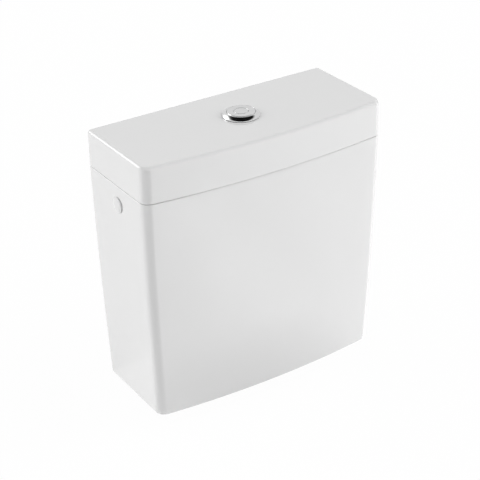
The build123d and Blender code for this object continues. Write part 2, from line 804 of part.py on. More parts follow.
with BuildPart() as half_float:
    half_float_bottom = lower_eye_top + fit_gap
    half_float_height = half_float_share * (upper_eye_bottom - lower_eye_top)
    rod_bore = pull_rod_radius + fit_gap
    with BuildSketch(Plane.XY.offset(half_float_bottom)) as shell:
        with Locations((lift_x, 0)):
            RectangleRounded(half_float_length, half_float_width, half_float_round)
            Circle(rod_bore, mode=Mode.SUBTRACT)
    extrude(shell.sketch, amount=half_float_height)
    with BuildSketch(Plane.XY.offset(half_float_bottom)) as hollow:
        with Locations((lift_x, 0)):
            RectangleRounded(half_float_length - 2 * half_float_wall,
                             half_float_width - 2 * half_float_wall, half_float_round - half_float_wall)
            Circle(rod_bore + half_float_wall, mode=Mode.SUBTRACT)
    extrude(hollow.sketch, amount=half_float_height - half_float_wall, mode=Mode.SUBTRACT)
half_float.part.label = "half_flush_float"
export_step(half_float.part, "parts/half_flush_float.step")

# Fill valve: threaded shank through the right side, clamped by its nut
right_boss = middle_x + side_boss
collar_seat = right_boss - inner_washer
barrel_right = collar_seat - collar_flange
right_seat = middle_x + side_seat
nut_start = right_seat + outer_washer
nut_end = nut_start + inlet_nut_height
with BuildPart() as shank:
    cross_disc(barrel_right - nozzle_length, barrel_right, nozzle_radius, inlet_bore, inlet_axis)
    cross_disc(barrel_right, collar_seat, collar_flange_radius, inlet_bore, inlet_axis)
    cross_disc(collar_seat, nut_end, shank_radius, inlet_bore, inlet_axis)
    cross_disc(nut_end, nut_end + inlet_thread_length, thread_radius, inlet_bore, inlet_axis)
shank.part.label = "inlet_shank"
export_step(shank.part, "parts/inlet_shank.step")

with BuildPart() as inner_ring:
    cross_disc(collar_seat, right_boss, collar_flange_radius, shank_radius + slip, inlet_axis)
inner_ring.part.label = "inlet_inner_washer"
export_step(inner_ring.part, "parts/inlet_inner_washer.step")

with BuildPart() as outer_ring:
    cross_disc(right_seat, nut_start, outer_washer_radius, shank_radius + slip, inlet_axis)
outer_ring.part.label = "inlet_outer_washer"
export_step(outer_ring.part, "parts/inlet_outer_washer.step")

with BuildPart() as inlet_nut:
    with BuildSketch(Plane.YZ.offset(nut_start)) as hexagon:
        with Locations(inlet_axis):
            RegularPolygon(inlet_nut_width / 2, 6, major_radius=False)
            Circle(thread_radius + thread_gap, mode=Mode.SUBTRACT)
    extrude(hexagon.sketch, amount=inlet_nut_height)
inlet_nut.part.label = "inlet_backnut"
export_step(inlet_nut.part, "parts/inlet_backnut.step")

# Valve body: barrel, head and spout, whose tube hangs clear of the collar and of the side wall
silencer_bottom = floor_top + silencer_above_floor
silencer_radius = spout_radius + slip + silencer_wall
half_at_silencer = curved(cistern_width, base_width, width_curve_share, silencer_bottom) / 2
wall_limit = middle_x + half_at_silencer - wall - silencer_side_gap - silencer_radius
spout_x = min(wall_limit, barrel_right - spout_from_collar)
column_x = spout_x - silencer_radius - inlet_float_side_gap - inlet_float_radius
barrel_left = column_x - column_from_end
head_x = barrel_left + head_from_end
head_top = inlet_z + head_height
spout_bottom = inlet_z - spout_length
with BuildPart() as valve_body:
    cross_disc(barrel_left, barrel_right, barrel_radius, 0.0, inlet_axis)
    disc(inlet_z, head_top, head_radius, centre=(head_x, inlet_y))
    disc(spout_bottom, inlet_z, spout_radius, centre=(spout_x, inlet_y))
    cross_disc(head_x - bore_past_head, barrel_right, barrel_bore, 0.0, inlet_axis,
               mode=Mode.SUBTRACT)
    disc(spout_bottom, inlet_z, inlet_bore, centre=(spout_x, inlet_y), mode=Mode.SUBTRACT)
    disc(inlet_z, head_top, inlet_bore, centre=(head_x, inlet_y), mode=Mode.SUBTRACT)
valve_body.part.label = "fill_valve_body"
export_step(valve_body.part, "parts/fill_valve_body.step")

# Column that the float slides on, with a ring that grips the body's end
column_bottom = inlet_z - barrel_radius - column_length
with BuildPart() as column:
    ring_bore = barrel_radius + thread_gap
    cross_disc(column_x - column_ring_width / 2, column_x + column_ring_width / 2,
               ring_bore + column_ring_wall, ring_bore, inlet_axis)
    disc(column_bottom, inlet_z - ring_bore, column_radius, centre=(column_x, inlet_y))
    disc(column_bottom, column_bottom + column_foot, column_foot_radius, centre=(column_x, inlet_y))
column.part.label = "float_column"
export_step(column.part, "parts/float_column.step")

# Diaphragm, cap and the lever that closes the pilot hole
cap_plate = head_top + diaphragm_thickness
cap_top = cap_plate + cap_thickness
float_axis_z = cap_top + float_axis_above_cap
float_axis_x = head_x - float_axis_from_head
with BuildPart() as diaphragm:
    disc(head_top, cap_plate, head_radius, centre=(head_x, inlet_y))
diaphragm.part.label = "fill_diaphragm"
export_step(diaphragm.part, "parts/fill_diaphragm.step")

with BuildPart() as cap:
    disc(cap_plate - cap_skirt, cap_plate, cap_radius, head_radius + slip, (head_x, inlet_y))
    disc(cap_plate, cap_top, cap_radius, pilot_hole_radius, (head_x, inlet_y))
    ear_gap = float_lever_width / 2 + lever_side_gap
    for y in (inlet_y - ear_gap - ear_thickness, inlet_y + ear_gap):
        block((float_axis_x - ear_length / 2, y, cap_plate),
              (float_axis_x + ear_length / 2, y + ear_thickness, float_axis_z + ear_above_axis))
    deep_disc(inlet_y - cap_radius, inlet_y + cap_radius, float_pin_radius + pin_gap, 0.0,
              (float_axis_x, float_axis_z), mode=Mode.SUBTRACT)
cap.part.label = "fill_valve_cap"
export_step(cap.part, "parts/fill_valve_cap.step")

with BuildPart() as float_pin:
    ear_reach = ear_gap + ear_thickness
    deep_disc(inlet_y - ear_reach, inlet_y + ear_reach, float_pin_radius, 0.0,
              (float_axis_x, float_axis_z))
float_pin.part.label = "float_lever_pin"
export_step(float_pin.part, "parts/float_lever_pin.step")

float_rod_x = float_axis_x - float_lever_arm
with BuildPart() as float_lever:
    lever_end = float_axis_x + pilot_arm + pilot_pad_radius
    with BuildSketch(Plane.XZ.offset(-inlet_y - float_lever_width / 2)) as float_lever_side:
        with Locations((float_rod_x, float_axis_z)):
            Circle(float_lever_half_thickness)
        with Locations(((float_rod_x + lever_end) / 2, float_axis_z)):
            Rectangle(lever_end - float_rod_x, 2 * float_lever_half_thickness)
        with Locations((float_axis_x, float_axis_z)):
            Circle(float_lever_hub)
            Circle(float_pin_radius + pin_gap, mode=Mode.SUBTRACT)
    extrude(float_lever_side.sketch, amount=float_lever_width)
    pad_bottom = float_axis_z - float_lever_half_thickness - pilot_pad_height
    disc(pad_bottom, float_axis_z - float_lever_half_thickness, pilot_pad_radius,
         centre=(float_axis_x + pilot_arm, inlet_y))
float_lever.part.label = "float_lever"
export_step(float_lever.part, "parts/float_lever.step")

# Float that slides on the column, and the rod that lifts the lever
inlet_float_bottom = column_bottom + column_foot + fit_gap
inlet_float_top = inlet_float_bottom + inlet_float_height
float_rod_top = float_axis_z - float_lever_half_thickness - fit_gap
with BuildPart() as inlet_float:
    float_sleeve = column_radius + fit_gap + inlet_float_wall
    disc(inlet_float_bottom, inlet_float_top, inlet_float_radius, column_radius + fit_gap,
         (column_x, inlet_y))
    disc(inlet_float_bottom, inlet_float_top - inlet_float_wall, inlet_float_radius - inlet_float_wall,
         float_sleeve, (column_x, inlet_y), mode=Mode.SUBTRACT)
    disc(inlet_float_bottom, inlet_float_top, float_rod_radius + thread_gap,
         centre=(float_rod_x, inlet_y), mode=Mode.SUBTRACT)
inlet_float.part.label = "inlet_float"
export_step(inlet_float.part, "parts/inlet_float.step")

with BuildPart() as float_rod:
    disc(inlet_float_top - inlet_float_wall - float_rod_nut_height, float_rod_top, float_rod_radius,
         centre=(float_rod_x, inlet_y))
    fillet(float_rod.faces().sort_by(Axis.Z)[-1].edges(), radius=float_rod_round)
float_rod.part.label = "float_rod"
export_step(float_rod.part, "parts/float_rod.step")

with BuildPart() as float_rod_nut:
    disc(inlet_float_top, inlet_float_top + float_rod_nut_height, float_rod_nut_radius,
         float_rod_radius + thread_gap, (float_rod_x, inlet_y))
float_rod_nut.part.label = "float_rod_nut"
export_step(float_rod_nut.part, "parts/float_rod_nut.step")

with BuildPart() as silencer:
    disc(silencer_bottom, spout_bottom + silencer_overlap, silencer_radius, spout_radius + slip,
         (spout_x, inlet_y))
silencer.part.label = "silencer_tube"
export_step(silencer.part, "parts/silencer_tube.step")

# Blanking plug in the left side
left_seat = middle_x - side_seat
left_boss = middle_x - side_boss
plug_face = left_seat - plug_washer
plug_shank_end = left_boss + plug_nut_height + plug_end
with BuildPart() as plug:
    with BuildSketch(Plane(origin=(0, inlet_y, 0), x_dir=(1, 0, 0), z_dir=(0, -1, 0))) as dome:
        with BuildLine():
            crown = (plug_face - plug_head_height, inlet_z)
            edge = (plug_face - plug_head_edge, inlet_z + plug_head_radius)
            TangentArc(crown, edge, tangent=(0, 1))
            Polyline(edge, (plug_face, inlet_z + plug_head_radius), (plug_face, inlet_z), crown)
        make_face()
    revolve(dome.sketch, axis=Axis((0, inlet_y, inlet_z), (1, 0, 0)))
    cross_disc(plug_face, plug_shank_end, shank_radius, shank_radius - plug_shank_wall, inlet_axis)
plug.part.label = "side_plug"
export_step(plug.part, "parts/side_plug.step")

with BuildPart() as plug_ring:
    cross_disc(plug_face, left_seat, plug_head_radius - plug_washer_inset, shank_radius + slip,
               inlet_axis)
plug_ring.part.label = "side_plug_washer"
export_step(plug_ring.part, "parts/side_plug_washer.step")

with BuildPart() as plug_nut:
    with BuildSketch(Plane.YZ.offset(left_boss)) as octagon:
        with Locations(inlet_axis):
            RegularPolygon(plug_nut_radius, plug_nut_sides)
            Circle(shank_radius + thread_gap, mode=Mode.SUBTRACT)
    extrude(octagon.sketch, amount=plug_nut_height)
plug_nut.part.label = "side_plug_nut"
export_step(plug_nut.part, "parts/side_plug_nut.step")

# Coupling bolts, one each side of the outlet
cone_top = floor_top + cone_washer_height
head_bottom = cone_top + steel_washer_thickness
wing_nut_top = base_recess - outer_rubber_thickness - steel_washer_thickness
wing_nut_bottom = wing_nut_top - wing_nut_height
bolt_tip = pan_seal_bottom + bolt_tip_above_seal_face
bolt_bore = bolt_radius + slip
bolt_places = ((-bolt_offset, 0), (bolt_offset, 0))

with BuildPart() as bolts:
    for place in bolt_places:
        disc(wing_nut_bottom, head_bottom, bolt_shank_radius, centre=place)
        disc(bolt_tip, wing_nut_bottom, bolt_radius, centre=place)
        with BuildSketch(Plane.XY.offset(head_bottom)) as bolt_head:
            with Locations(place):
                RegularPolygon(bolt_head_width / 2, 6, major_radius=False)
        extrude(bolt_head.sketch, amount=bolt_head_height)
bolts.part.label = "coupling_bolts"
export_step(bolts.part, "parts/coupling_bolts.step")

with BuildPart() as cone_washers:
    for place in bolt_places:
        disc(floor_top - cone_spigot_length, floor_top, bolt_hole_radius - fit_gap, centre=place)
        disc(floor_top, floor_top + cone_washer_flange, cone_washer_radius, centre=place)
        cone_bottom = floor_top + cone_washer_flange
        with Locations((place[0], place[1], cone_bottom)):
            Cone(cone_washer_radius, cone_washer_top_radius, cone_top - cone_bottom,
                 align=(Align.CENTER, Align.CENTER, Align.MIN))
        disc(floor_top - cone_spigot_length, cone_top, bolt_bore, centre=place, mode=Mode.SUBTRACT)
cone_washers.part.label = "bolt_cone_washers"
export_step(cone_washers.part, "parts/bolt_cone_washers.step")

with BuildPart() as head_washers:
    for place in bolt_places:
        disc(cone_top, head_bottom, steel_washer_radius, bolt_bore, place)
head_washers.part.label = "bolt_head_washers"
export_step(head_washers.part, "parts/bolt_head_washers.step")

with BuildPart() as rubber_washers:
    for place in bolt_places:
        disc(base_recess - outer_rubber_thickness, base_recess, outer_rubber_radius, bolt_bore, place)
rubber_washers.part.label = "bolt_rubber_washers"
export_step(rubber_washers.part, "parts/bolt_rubber_washers.step")

with BuildPart() as plate_washers:
    for place in bolt_places:
        disc(wing_nut_top, base_recess - outer_rubber_thickness, plate_washer_radius, bolt_bore, place)
plate_washers.part.label = "bolt_plate_washers"
export_step(plate_washers.part, "parts/bolt_plate_washers.step")

with BuildPart() as wing_nuts:
    for place in bolt_places:
        disc(wing_nut_bottom, wing_nut_top, wing_hub_radius, centre=place)
        block((place[0] - wing_span / 2, -wing_thickness / 2, wing_nut_bottom),
              (place[0] + wing_span / 2, wing_thickness / 2, wing_nut_bottom + wing_height))
        disc(wing_nut_bottom, wing_nut_top, bolt_bore, centre=place, mode=Mode.SUBTRACT)
wing_nuts.part.label = "wing_nuts"
export_step(wing_nuts.part, "parts/wing_nuts.step")
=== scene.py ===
import json
import math

import bmesh
import bpy
from mathutils import Matrix, Vector


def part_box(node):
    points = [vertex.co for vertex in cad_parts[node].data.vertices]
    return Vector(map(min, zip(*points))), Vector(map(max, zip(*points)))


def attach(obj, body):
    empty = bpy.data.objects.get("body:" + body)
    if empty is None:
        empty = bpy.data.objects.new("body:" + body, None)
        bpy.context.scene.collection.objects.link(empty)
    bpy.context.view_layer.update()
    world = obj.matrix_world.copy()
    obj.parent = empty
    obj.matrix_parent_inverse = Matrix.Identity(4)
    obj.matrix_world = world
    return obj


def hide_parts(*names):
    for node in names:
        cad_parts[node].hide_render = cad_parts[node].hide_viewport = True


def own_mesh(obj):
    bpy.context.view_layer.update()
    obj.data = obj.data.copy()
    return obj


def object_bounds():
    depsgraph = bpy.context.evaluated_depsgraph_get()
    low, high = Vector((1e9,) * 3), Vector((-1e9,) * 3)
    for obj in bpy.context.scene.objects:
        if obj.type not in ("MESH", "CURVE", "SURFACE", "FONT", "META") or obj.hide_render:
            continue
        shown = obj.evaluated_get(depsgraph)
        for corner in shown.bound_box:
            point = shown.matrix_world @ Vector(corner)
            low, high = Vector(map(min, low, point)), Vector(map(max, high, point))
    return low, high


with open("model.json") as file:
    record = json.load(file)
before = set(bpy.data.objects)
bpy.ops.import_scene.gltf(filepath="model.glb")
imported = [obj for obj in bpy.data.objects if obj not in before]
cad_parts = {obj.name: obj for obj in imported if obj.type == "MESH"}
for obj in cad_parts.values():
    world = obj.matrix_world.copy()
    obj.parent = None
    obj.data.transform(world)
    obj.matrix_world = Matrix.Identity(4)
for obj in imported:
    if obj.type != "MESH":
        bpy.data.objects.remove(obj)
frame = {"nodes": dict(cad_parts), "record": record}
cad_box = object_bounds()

# A close-coupled toilet cistern in glazed ceramic. Metres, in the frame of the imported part:
# the origin is on the outlet's axis, +Z is up, the front faces -Y and the inlet is on the +X side.

MM = 0.001
CAD_SHARP = 32
SHARP = 35

# Ceramic body, as the solids have it
HALF_WIDTH = 190.0 * MM
BASE_HALF_WIDTH = 180.0 * MM
SIDE_DEPTH = 151.6 * MM
BASE_SIDE_DEPTH = 142.3 * MM
FRONT_BOW = 10.0 * MM
BASE_FRONT_BOW = 11.7 * MM
WIDTH_CURVE_SHARE = 0.65
DEPTH_CURVE_SHARE = 0.13
FRONT_CORNER = 14.6 * MM
BACK_CORNER = 6.0 * MM
INNER_CORNER = 6.0 * MM
WALL = 9.5 * MM
FLOOR_TOP = 21.0 * MM
BASE_RECESS = 10.0 * MM
FOOT_WIDTH = 12.0 * MM
BASE_ROUND = 3.0 * MM
RIM_ROUND = 1.2 * MM
LID_TOP_HALF_WIDTH = 189.3 * MM
LID_FRONT_BOW = 12.9 * MM
LID_ROUND = 4.7 * MM
LID_WALL = 9.0 * MM
LID_BACK_CORNER = 1.2 * MM
LIP_INSET = 12.0 * MM
LIP_WIDTH = 6.0 * MM
LIP_DEPTH = 8.0 * MM
LIP_ROUND = 1.5 * MM
SHELF_HEIGHT = 10.0 * MM
COVE = 5.0 * MM

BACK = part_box("cistern_tank")[1].y
CERAMIC_X = (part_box("cistern_tank")[0].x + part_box("cistern_tank")[1].x) / 2
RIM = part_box("cistern_tank")[1].z
LID_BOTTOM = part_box("lid_pads")[1].z
LID_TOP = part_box("cistern_lid")[1].z


def tree_of(name):
    """A new material, its node tree and its Principled shader."""
    material = bpy.data.materials.new(name)
    material.use_nodes = True
    tree = material.node_tree
    return material, tree, tree.nodes["Principled BSDF"]


def feed(tree, socket, value):
    """Gives a socket a value, which is a number or another socket."""
    if isinstance(value, (int, float)):
        socket.default_value = value
    else:
        tree.links.new(value, socket)


def fill(tree, shader, inputs):
    """Gives a shader its inputs by name."""
    for name, value in inputs.items():
        feed(tree, shader.inputs[name], value)


def noise(tree, scale, detail=3.0, stretch=(1, 1, 1)):
    """Noise in the object's own coordinates, whose scale counts per metre."""
    place = tree.nodes.new("ShaderNodeTexCoord")
    mapping = tree.nodes.new("ShaderNodeMapping")
    mapping.inputs["Scale"].default_value = stretch
    texture = tree.nodes.new("ShaderNodeTexNoise")
    texture.inputs["Scale"].default_value = scale
    texture.inputs["Detail"].default_value = detail
    tree.links.new(place.outputs["Object"], mapping.inputs["Vector"])
    tree.links.new(mapping.outputs["Vector"], texture.inputs["Vector"])
    return texture.outputs["Fac"]


def spread(tree, value, low, high, start=0.3, end=0.7):
    """A value from 0 to 1 spread over another range."""
    scaled = tree.nodes.new("ShaderNodeMapRange")
    scaled.inputs["From Min"].default_value = start
    scaled.inputs["From Max"].default_value = end
    scaled.inputs["To Min"].default_value = low
    scaled.inputs["To Max"].default_value = high
    tree.links.new(value, scaled.inputs["Value"])
    return scaled.outputs["Result"]


def two_colours(tree, factor, first, second):
    mix = tree.nodes.new("ShaderNodeMix")
    mix.data_type = "RGBA"
    mix.inputs["A"].default_value = (*first, 1)
    mix.inputs["B"].default_value = (*second, 1)
    tree.links.new(factor, mix.inputs["Factor"])
    return mix.outputs["Result"]


def bump(tree, height, depth, strength=1.0, under=None):
    """A bump of a depth in metres, over an optional coarser one."""
    node = tree.nodes.new("ShaderNodeBump")
    node.inputs["Strength"].default_value = strength
    node.inputs["Distance"].default_value = depth
    tree.links.new(height, node.inputs["Height"])
    if under is not None:
        tree.links.new(under, node.inputs["Normal"])
    return node.outputs["Normal"]


def glazed_ceramic():
    """White vitreous china: a glassy, faintly wavy glaze on a slightly uneven white."""
    material, tree, shader = tree_of("glazed_ceramic")
    cloud = spread(tree, noise(tree, 9.0, 2.0), 0.0, 1.0)
    slow = bump(tree, noise(tree, 14.0, 1.0), 0.0006, 0.5)
    fill(tree, shader, {
        "Base Color": two_colours(tree, cloud, (0.794, 0.794, 0.794), (0.804, 0.804, 0.804)),
        "Roughness": spread(tree, noise(tree, 60.0), 0.04, 0.09),
        "Normal": bump(tree, noise(tree, 420.0, 1.0), 0.00002, 0.5, slow),
        "Coat Weight": 1.0, "Coat Roughness": 0.03})
    return material


def polished_chrome():
    material, tree, shader = tree_of("polished_chrome")
    smear = spread(tree, noise(tree, 90.0), 0.0, 1.0)
    fill(tree, shader, {
        "Base Color": two_colours(tree, smear, (0.88, 0.885, 0.89), (0.93, 0.93, 0.93)),
        "Metallic": 1.0,
        "Roughness": spread(tree, noise(tree, 300.0), 0.04, 0.10),
        "Normal": bump(tree, noise(tree, 160.0, 1.0), 0.00003, 0.4)})
    return material


def moulded_plastic(name, colour, roughness=0.35, grain=900.0, depth=0.00003):
    """Injection-moulded plastic: an even colour with faint flow clouding and a fine grain."""
    material, tree, shader = tree_of(name)
    darker = tuple(0.88 * part for part in colour)
    cloud = spread(tree, noise(tree, 28.0, 4.0, (1, 1, 0.4)), 0.0, 1.0)
    fill(tree, shader, {
        "Base Color": two_colours(tree, cloud, darker, colour),
        "Roughness": spread(tree, noise(tree, 140.0), 0.8 * roughness, 1.25 * roughness),
        "Normal": bump(tree, noise(tree, grain, 2.0), depth, 0.6)})
    return material


def metal(name, colour, dark, roughness, stretch):
    """Turned or drawn metal: fine lines along one way, with a light tarnish."""
    material, tree, shader = tree_of(name)
    tarnish = spread(tree, noise(tree, 70.0, 5.0), 0.0, 1.0)
    lines = noise(tree, 700.0, 2.0, stretch)
    fill(tree, shader, {
        "Base Color": two_colours(tree, tarnish, dark, colour),
        "Metallic": 1.0,
        "Roughness": spread(tree, lines, 0.7 * roughness, 1.4 * roughness),
        "Normal": bump(tree, lines, 0.00003, 0.5)})
    return material


def soft_rubber(name, colour, depth=0.0001):
    """Moulded rubber or foam: matte, with open grain and a dusty bloom."""
    material, tree, shader = tree_of(name)
    bloom = spread(tree, noise(tree, 45.0, 6.0), 0.0, 1.0)
    lighter = tuple(min(1.0, part * 1.5 + 0.01) for part in colour)
    fill(tree, shader, {
        "Base Color": two_colours(tree, bloom, colour, lighter),
        "Roughness": spread(tree, noise(tree, 200.0), 0.6, 0.85),
        "Normal": bump(tree, noise(tree, 1300.0, 3.0), depth, 0.8)})
    return material


MATERIALS = {
    "glazed_ceramic": glazed_ceramic(),
    "chrome": polished_chrome(),
    "steel": metal("stainless_steel", (0.62, 0.62, 0.61), (0.48, 0.48, 0.47), 0.3, (1, 1, 0.1)),
    "brass": metal("brass", (0.78, 0.60, 0.30), (0.60, 0.43, 0.18), 0.28, (0.1, 1, 1)),
    "black_rubber": soft_rubber("black_rubber", (0.02, 0.02, 0.02)),
    "red_rubber": soft_rubber("red_rubber", (0.33, 0.05, 0.03)),
    "soft_pads": soft_rubber("pale_rubber", (0.45, 0.45, 0.43)),
    "white_plastic": moulded_plastic("white_plastic", (0.86, 0.86, 0.86)),
    "grey_plastic": moulded_plastic("grey_plastic", (0.36, 0.38, 0.40), 0.42),
    "blue_plastic": moulded_plastic("blue_plastic", (0.04, 0.13, 0.42), 0.38),
}

# Every CAD node gets its material
slot_of = {row["node"]: row["material_slot"] for row in frame["record"]["subparts"]}
bodies = frame["record"]["behaviour"]["bodies"]
body_of = {node: body for body, nodes in bodies.items() for node in nodes}
for node, item in frame["nodes"].items():
    item.data.materials.clear()
    item.data.materials.append(MATERIALS[slot_of[node]])
    item.data.shade_smooth()
    item.data.set_sharp_from_angle(angle=math.radians(CAD_SHARP))


stood_for = set()


def finished(mesh_bm, name, node, sharp=SHARP):
    """Turns mesh code into a piece that stands for a CAD node."""
    bmesh.ops.recalc_face_normals(mesh_bm, faces=mesh_bm.faces)
    data = bpy.data.meshes.new(name)
    mesh_bm.to_mesh(data)
    mesh_bm.free()
    data.shade_smooth()
    data.set_sharp_from_angle(angle=math.radians(sharp))
    piece = bpy.data.objects.new(name, data)
    bpy.context.scene.collection.objects.link(piece)
    data.materials.append(MATERIALS[slot_of[node]])
    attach(piece, body_of[node])
    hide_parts(node)
    stood_for.add(node)
    return piece


def curved(top, base, curve_share, height):
    """A size that changes from the rim to the base, faster towards the base."""
    share = 1 - height / RIM
    return top + (base - top) * ((1 - curve_share) * share + curve_share * share ** 2)


def arc(centre, radius, start, end, count):
    """Points on an arc, with its angles in radians."""
    angles = [start + (end - start) * i / count for i in range(count + 1)]
    return [(centre[0] + radius * math.cos(a), centre[1] + radius * math.sin(a)) for a in angles]


def plan(half, side_front, bow, inset, front_radius, back_radius):
    """The cistern's plan, round from the back, with as many points at every size."""
    half, back, corner = half - inset, BACK - inset, side_front + inset
    big = (half ** 2 + bow ** 2) / (2 * bow)
    big_y = corner - bow + big
    centre_x = half - front_radius
    centre_y = big_y - math.sqrt((big - front_radius) ** 2 - centre_x ** 2)
    lean = math.atan2(centre_y - big_y, centre_x)
    left = [(-x, y) for x, y in arc((half - back_radius, back - back_radius), back_radius,
                                    math.pi / 2, 0, 6)]
    side = [(-half, back - back_radius + (centre_y - back + back_radius) * i / 8)
            for i in range(1, 8)]
    front_left = [(-x, y) for x, y in arc((centre_x, centre_y), front_radius, 0, lean, 12)]
    front = arc((0, big_y), big, math.pi - lean - 2 * math.pi, lean, 40)[1:-1]
    top = [((half - back_radius) * (i / 6 - 1), back) for i in range(1, 12)]
    half_outline = left + side + front_left
    right = [(-x, y) for x, y in reversed(half_outline)]
    return half_outline + front + right + [(-x, y) for x, y in top]


def tank_ring(height, inset=0.0, front_radius=FRONT_CORNER, back_radius=BACK_CORNER, level=None):
    half = curved(HALF_WIDTH, BASE_HALF_WIDTH, WIDTH_CURVE_SHARE, height)
    depth = curved(SIDE_DEPTH, BASE_SIDE_DEPTH, DEPTH_CURVE_SHARE, height)
    bow = curved(FRONT_BOW, BASE_FRONT_BOW, DEPTH_CURVE_SHARE, height)
    level = height if level is None else level
    outline = plan(half, BACK - depth, bow, inset, front_radius, back_radius)
    return [(CERAMIC_X + x, y, level) for x, y in outline]


def lid_ring(height, inset=0.0, front_radius=FRONT_CORNER, back_radius=BACK_CORNER):
    share = (height - LID_BOTTOM) / (LID_TOP - LID_BOTTOM)
    half = HALF_WIDTH + (LID_TOP_HALF_WIDTH - HALF_WIDTH) * share
    outline = plan(half, BACK - SIDE_DEPTH, LID_FRONT_BOW, inset, front_radius, back_radius)
    return [(CERAMIC_X + x, y, height) for x, y in outline]


def eased(ring, height, inset=0.0):
    """A ring of the outside, drawn in by a rounded edge."""
    return ring(height, inset, FRONT_CORNER - inset, BACK_CORNER - inset)


def inside(ring, height, inset):
    """A ring of the inside, where every corner has one radius."""
    return ring(height, inset, INNER_CORNER, INNER_CORNER)


def skin(rings):
    """A closed mesh through rings of as many points each, capped at both ends."""
    made = bmesh.new()
    rows = [[made.verts.new(point) for point in ring] for ring in rings]
    for low, high in zip(rows, rows[1:]):
        for i in range(len(low)):
            j = (i + 1) % len(low)
            made.faces.new((low[i], low[j], high[j], high[i]))
    made.faces.new(rows[0])
    made.faces.new(rows[-1])
    return made


def quarter(count):
    """Shares of a rounded edge, how far in and how far along, from its side to its end."""
    angles = [math.pi / 2 * i / count for i in range(count + 1)]
    return [(1 - math.cos(a), 1 - math.sin(a)) for a in angles]


def tank_rings():
    """From the recess under the floor, round the foot, up outside, over the rim and down inside."""
    straight_top, rows = RIM - RIM_ROUND, 24
    rings = [inside(tank_ring, BASE_RECESS, FOOT_WIDTH + 3 * MM),
             inside(tank_ring, BASE_RECESS, FOOT_WIDTH), inside(tank_ring, 0, FOOT_WIDTH)]
    rings += [eased(tank_ring, BASE_ROUND * along, BASE_ROUND * aside)
              for aside, along in quarter(6)[::-1]]
    rings += [tank_ring(BASE_ROUND + (straight_top - BASE_ROUND) * i / rows)
              for i in range(1, rows + 1)]
    rings += [eased(tank_ring, RIM - RIM_ROUND * along, RIM_ROUND * aside)
              for aside, along in quarter(4)]
    rings += [inside(tank_ring, RIM - RIM_ROUND * along, WALL - RIM_ROUND * aside)
              for aside, along in quarter(4)[::-1]]
    rings += [inside(tank_ring, straight_top + (FLOOR_TOP + COVE - straight_top) * i / rows, WALL)
              for i in range(1, rows + 1)]
    rings += [inside(tank_ring, FLOOR_TOP + COVE * along, WALL + COVE * aside)
              for aside, along in quarter(5)[1:]]
    return rings + [inside(tank_ring, FLOOR_TOP, WALL + COVE + 2 * MM)]


def cut(piece, cutters, operation="DIFFERENCE"):
    """Cuts shapes out of a piece, or adds them, and removes them."""
    for cutter in cutters:
        modifier = piece.modifiers.new("cut", "BOOLEAN")
        modifier.operation = operation
        modifier.solver = "EXACT"
        modifier.object = cutter
    bpy.context.view_layer.update()
    graph = bpy.context.evaluated_depsgraph_get()
    fresh = bpy.data.meshes.new_from_object(piece.evaluated_get(graph))
    fresh.name = piece.data.name
    piece.modifiers.clear()
    piece.data = fresh
    for cutter in cutters:
        bpy.data.objects.remove(cutter)
    piece.data.shade_smooth()
    piece.data.set_sharp_from_angle(angle=math.radians(SHARP))


def threads(radius, low, high, pitch, depth):
    """Rows of a profile that carry a thread, which fades in and out over a turn."""
    count = max(8, round(6 * (high - low) / pitch))
    rows = []
    for i in range(count + 1):
        height = low + (high - low) * i / count
        fade = min(1.0, (height - low) / pitch, (high - height) / pitch)
        rows.append((radius, height, depth * max(0.0, fade)))
    return rows


def groove(turns):
    """How deep a thread is cut at a number of turns: nothing on its crest, and 1 at its root."""
    share = abs(2 * (turns % 1) - 1)
    return min(1.0, max(0.0, 1.5 * share - 0.25))


def lathe(profile, steps=96, turn=Matrix.Identity(4), pitch=None):
    """A closed profile turned round Z and moved by a matrix.

    A radius is a length or a function of the angle. A third value is the depth of a thread."""
    made = bmesh.new()
    rows = []
    for point in profile:
        radius, height = point[0], point[1]
        depth = point[2] if len(point) > 2 else 0.0
        if not callable(radius) and radius < 1e-7:
            rows.append([made.verts.new((0, 0, height))])
            continue
        row = []
        for i in range(steps):
            angle = math.tau * i / steps
            reach = radius(angle) if callable(radius) else radius
            if depth > 0:
                reach -= depth * groove(height / pitch - i / steps)
            row.append(made.verts.new((reach * math.cos(angle), reach * math.sin(angle), height)))
        rows.append(row)
    for low, high in zip(rows, rows[1:] + rows[:1]):
        for i in range(steps):
            j = (i + 1) % steps
            corners = list(dict.fromkeys((low[i % len(low)], low[j % len(low)],
                                          high[j % len(high)], high[i % len(high)])))
            if len(corners) > 2:
                made.faces.new(corners)
    made.transform(turn)
    return made


def joined(*parts):
    """One mesh from several closed ones."""
    whole = bmesh.new()
    for part in parts:
        data = bpy.data.meshes.new("part")
        part.to_mesh(data)
        part.free()
        whole.from_mesh(data)
        bpy.data.meshes.remove(data)
    return whole


def polygon_radius(flat, sides, most=None):
    """The radius of a regular polygon of a width between flats, cut by a round chamfer."""
    def radius(angle):
        away = (angle + math.pi / sides) % (math.tau / sides) - math.pi / sides
        reach = flat / 2 / math.cos(away)
        return reach if most is None else min(reach, most)
    return radius


def nut(flat, sides, low, high, bore, chamfer, turn=Matrix.Identity(4)):
    """A nut with chamfered corners and a bore with broken edges."""
    corner = flat / 2 / math.cos(math.pi / sides)
    edge, face, least = 0.4 * MM, flat / 2 * 0.95, flat / 2 * 0.96
    shares = (0.0, 0.35, 0.7, 1.0)
    limits = [polygon_radius(flat, sides, least + (corner - least) * share) for share in shares]
    profile = [(bore + edge, low), (face, low)]
    profile += [(limit, low + chamfer * share) for limit, share in zip(limits, shares)]
    profile += [(limit, high - chamfer * share) for limit, share in zip(limits[::-1], shares[::-1])]
    profile += [(face, high), (bore + edge, high), (bore, high - edge), (bore, low + edge)]
    return lathe(profile, 12 * sides, turn)


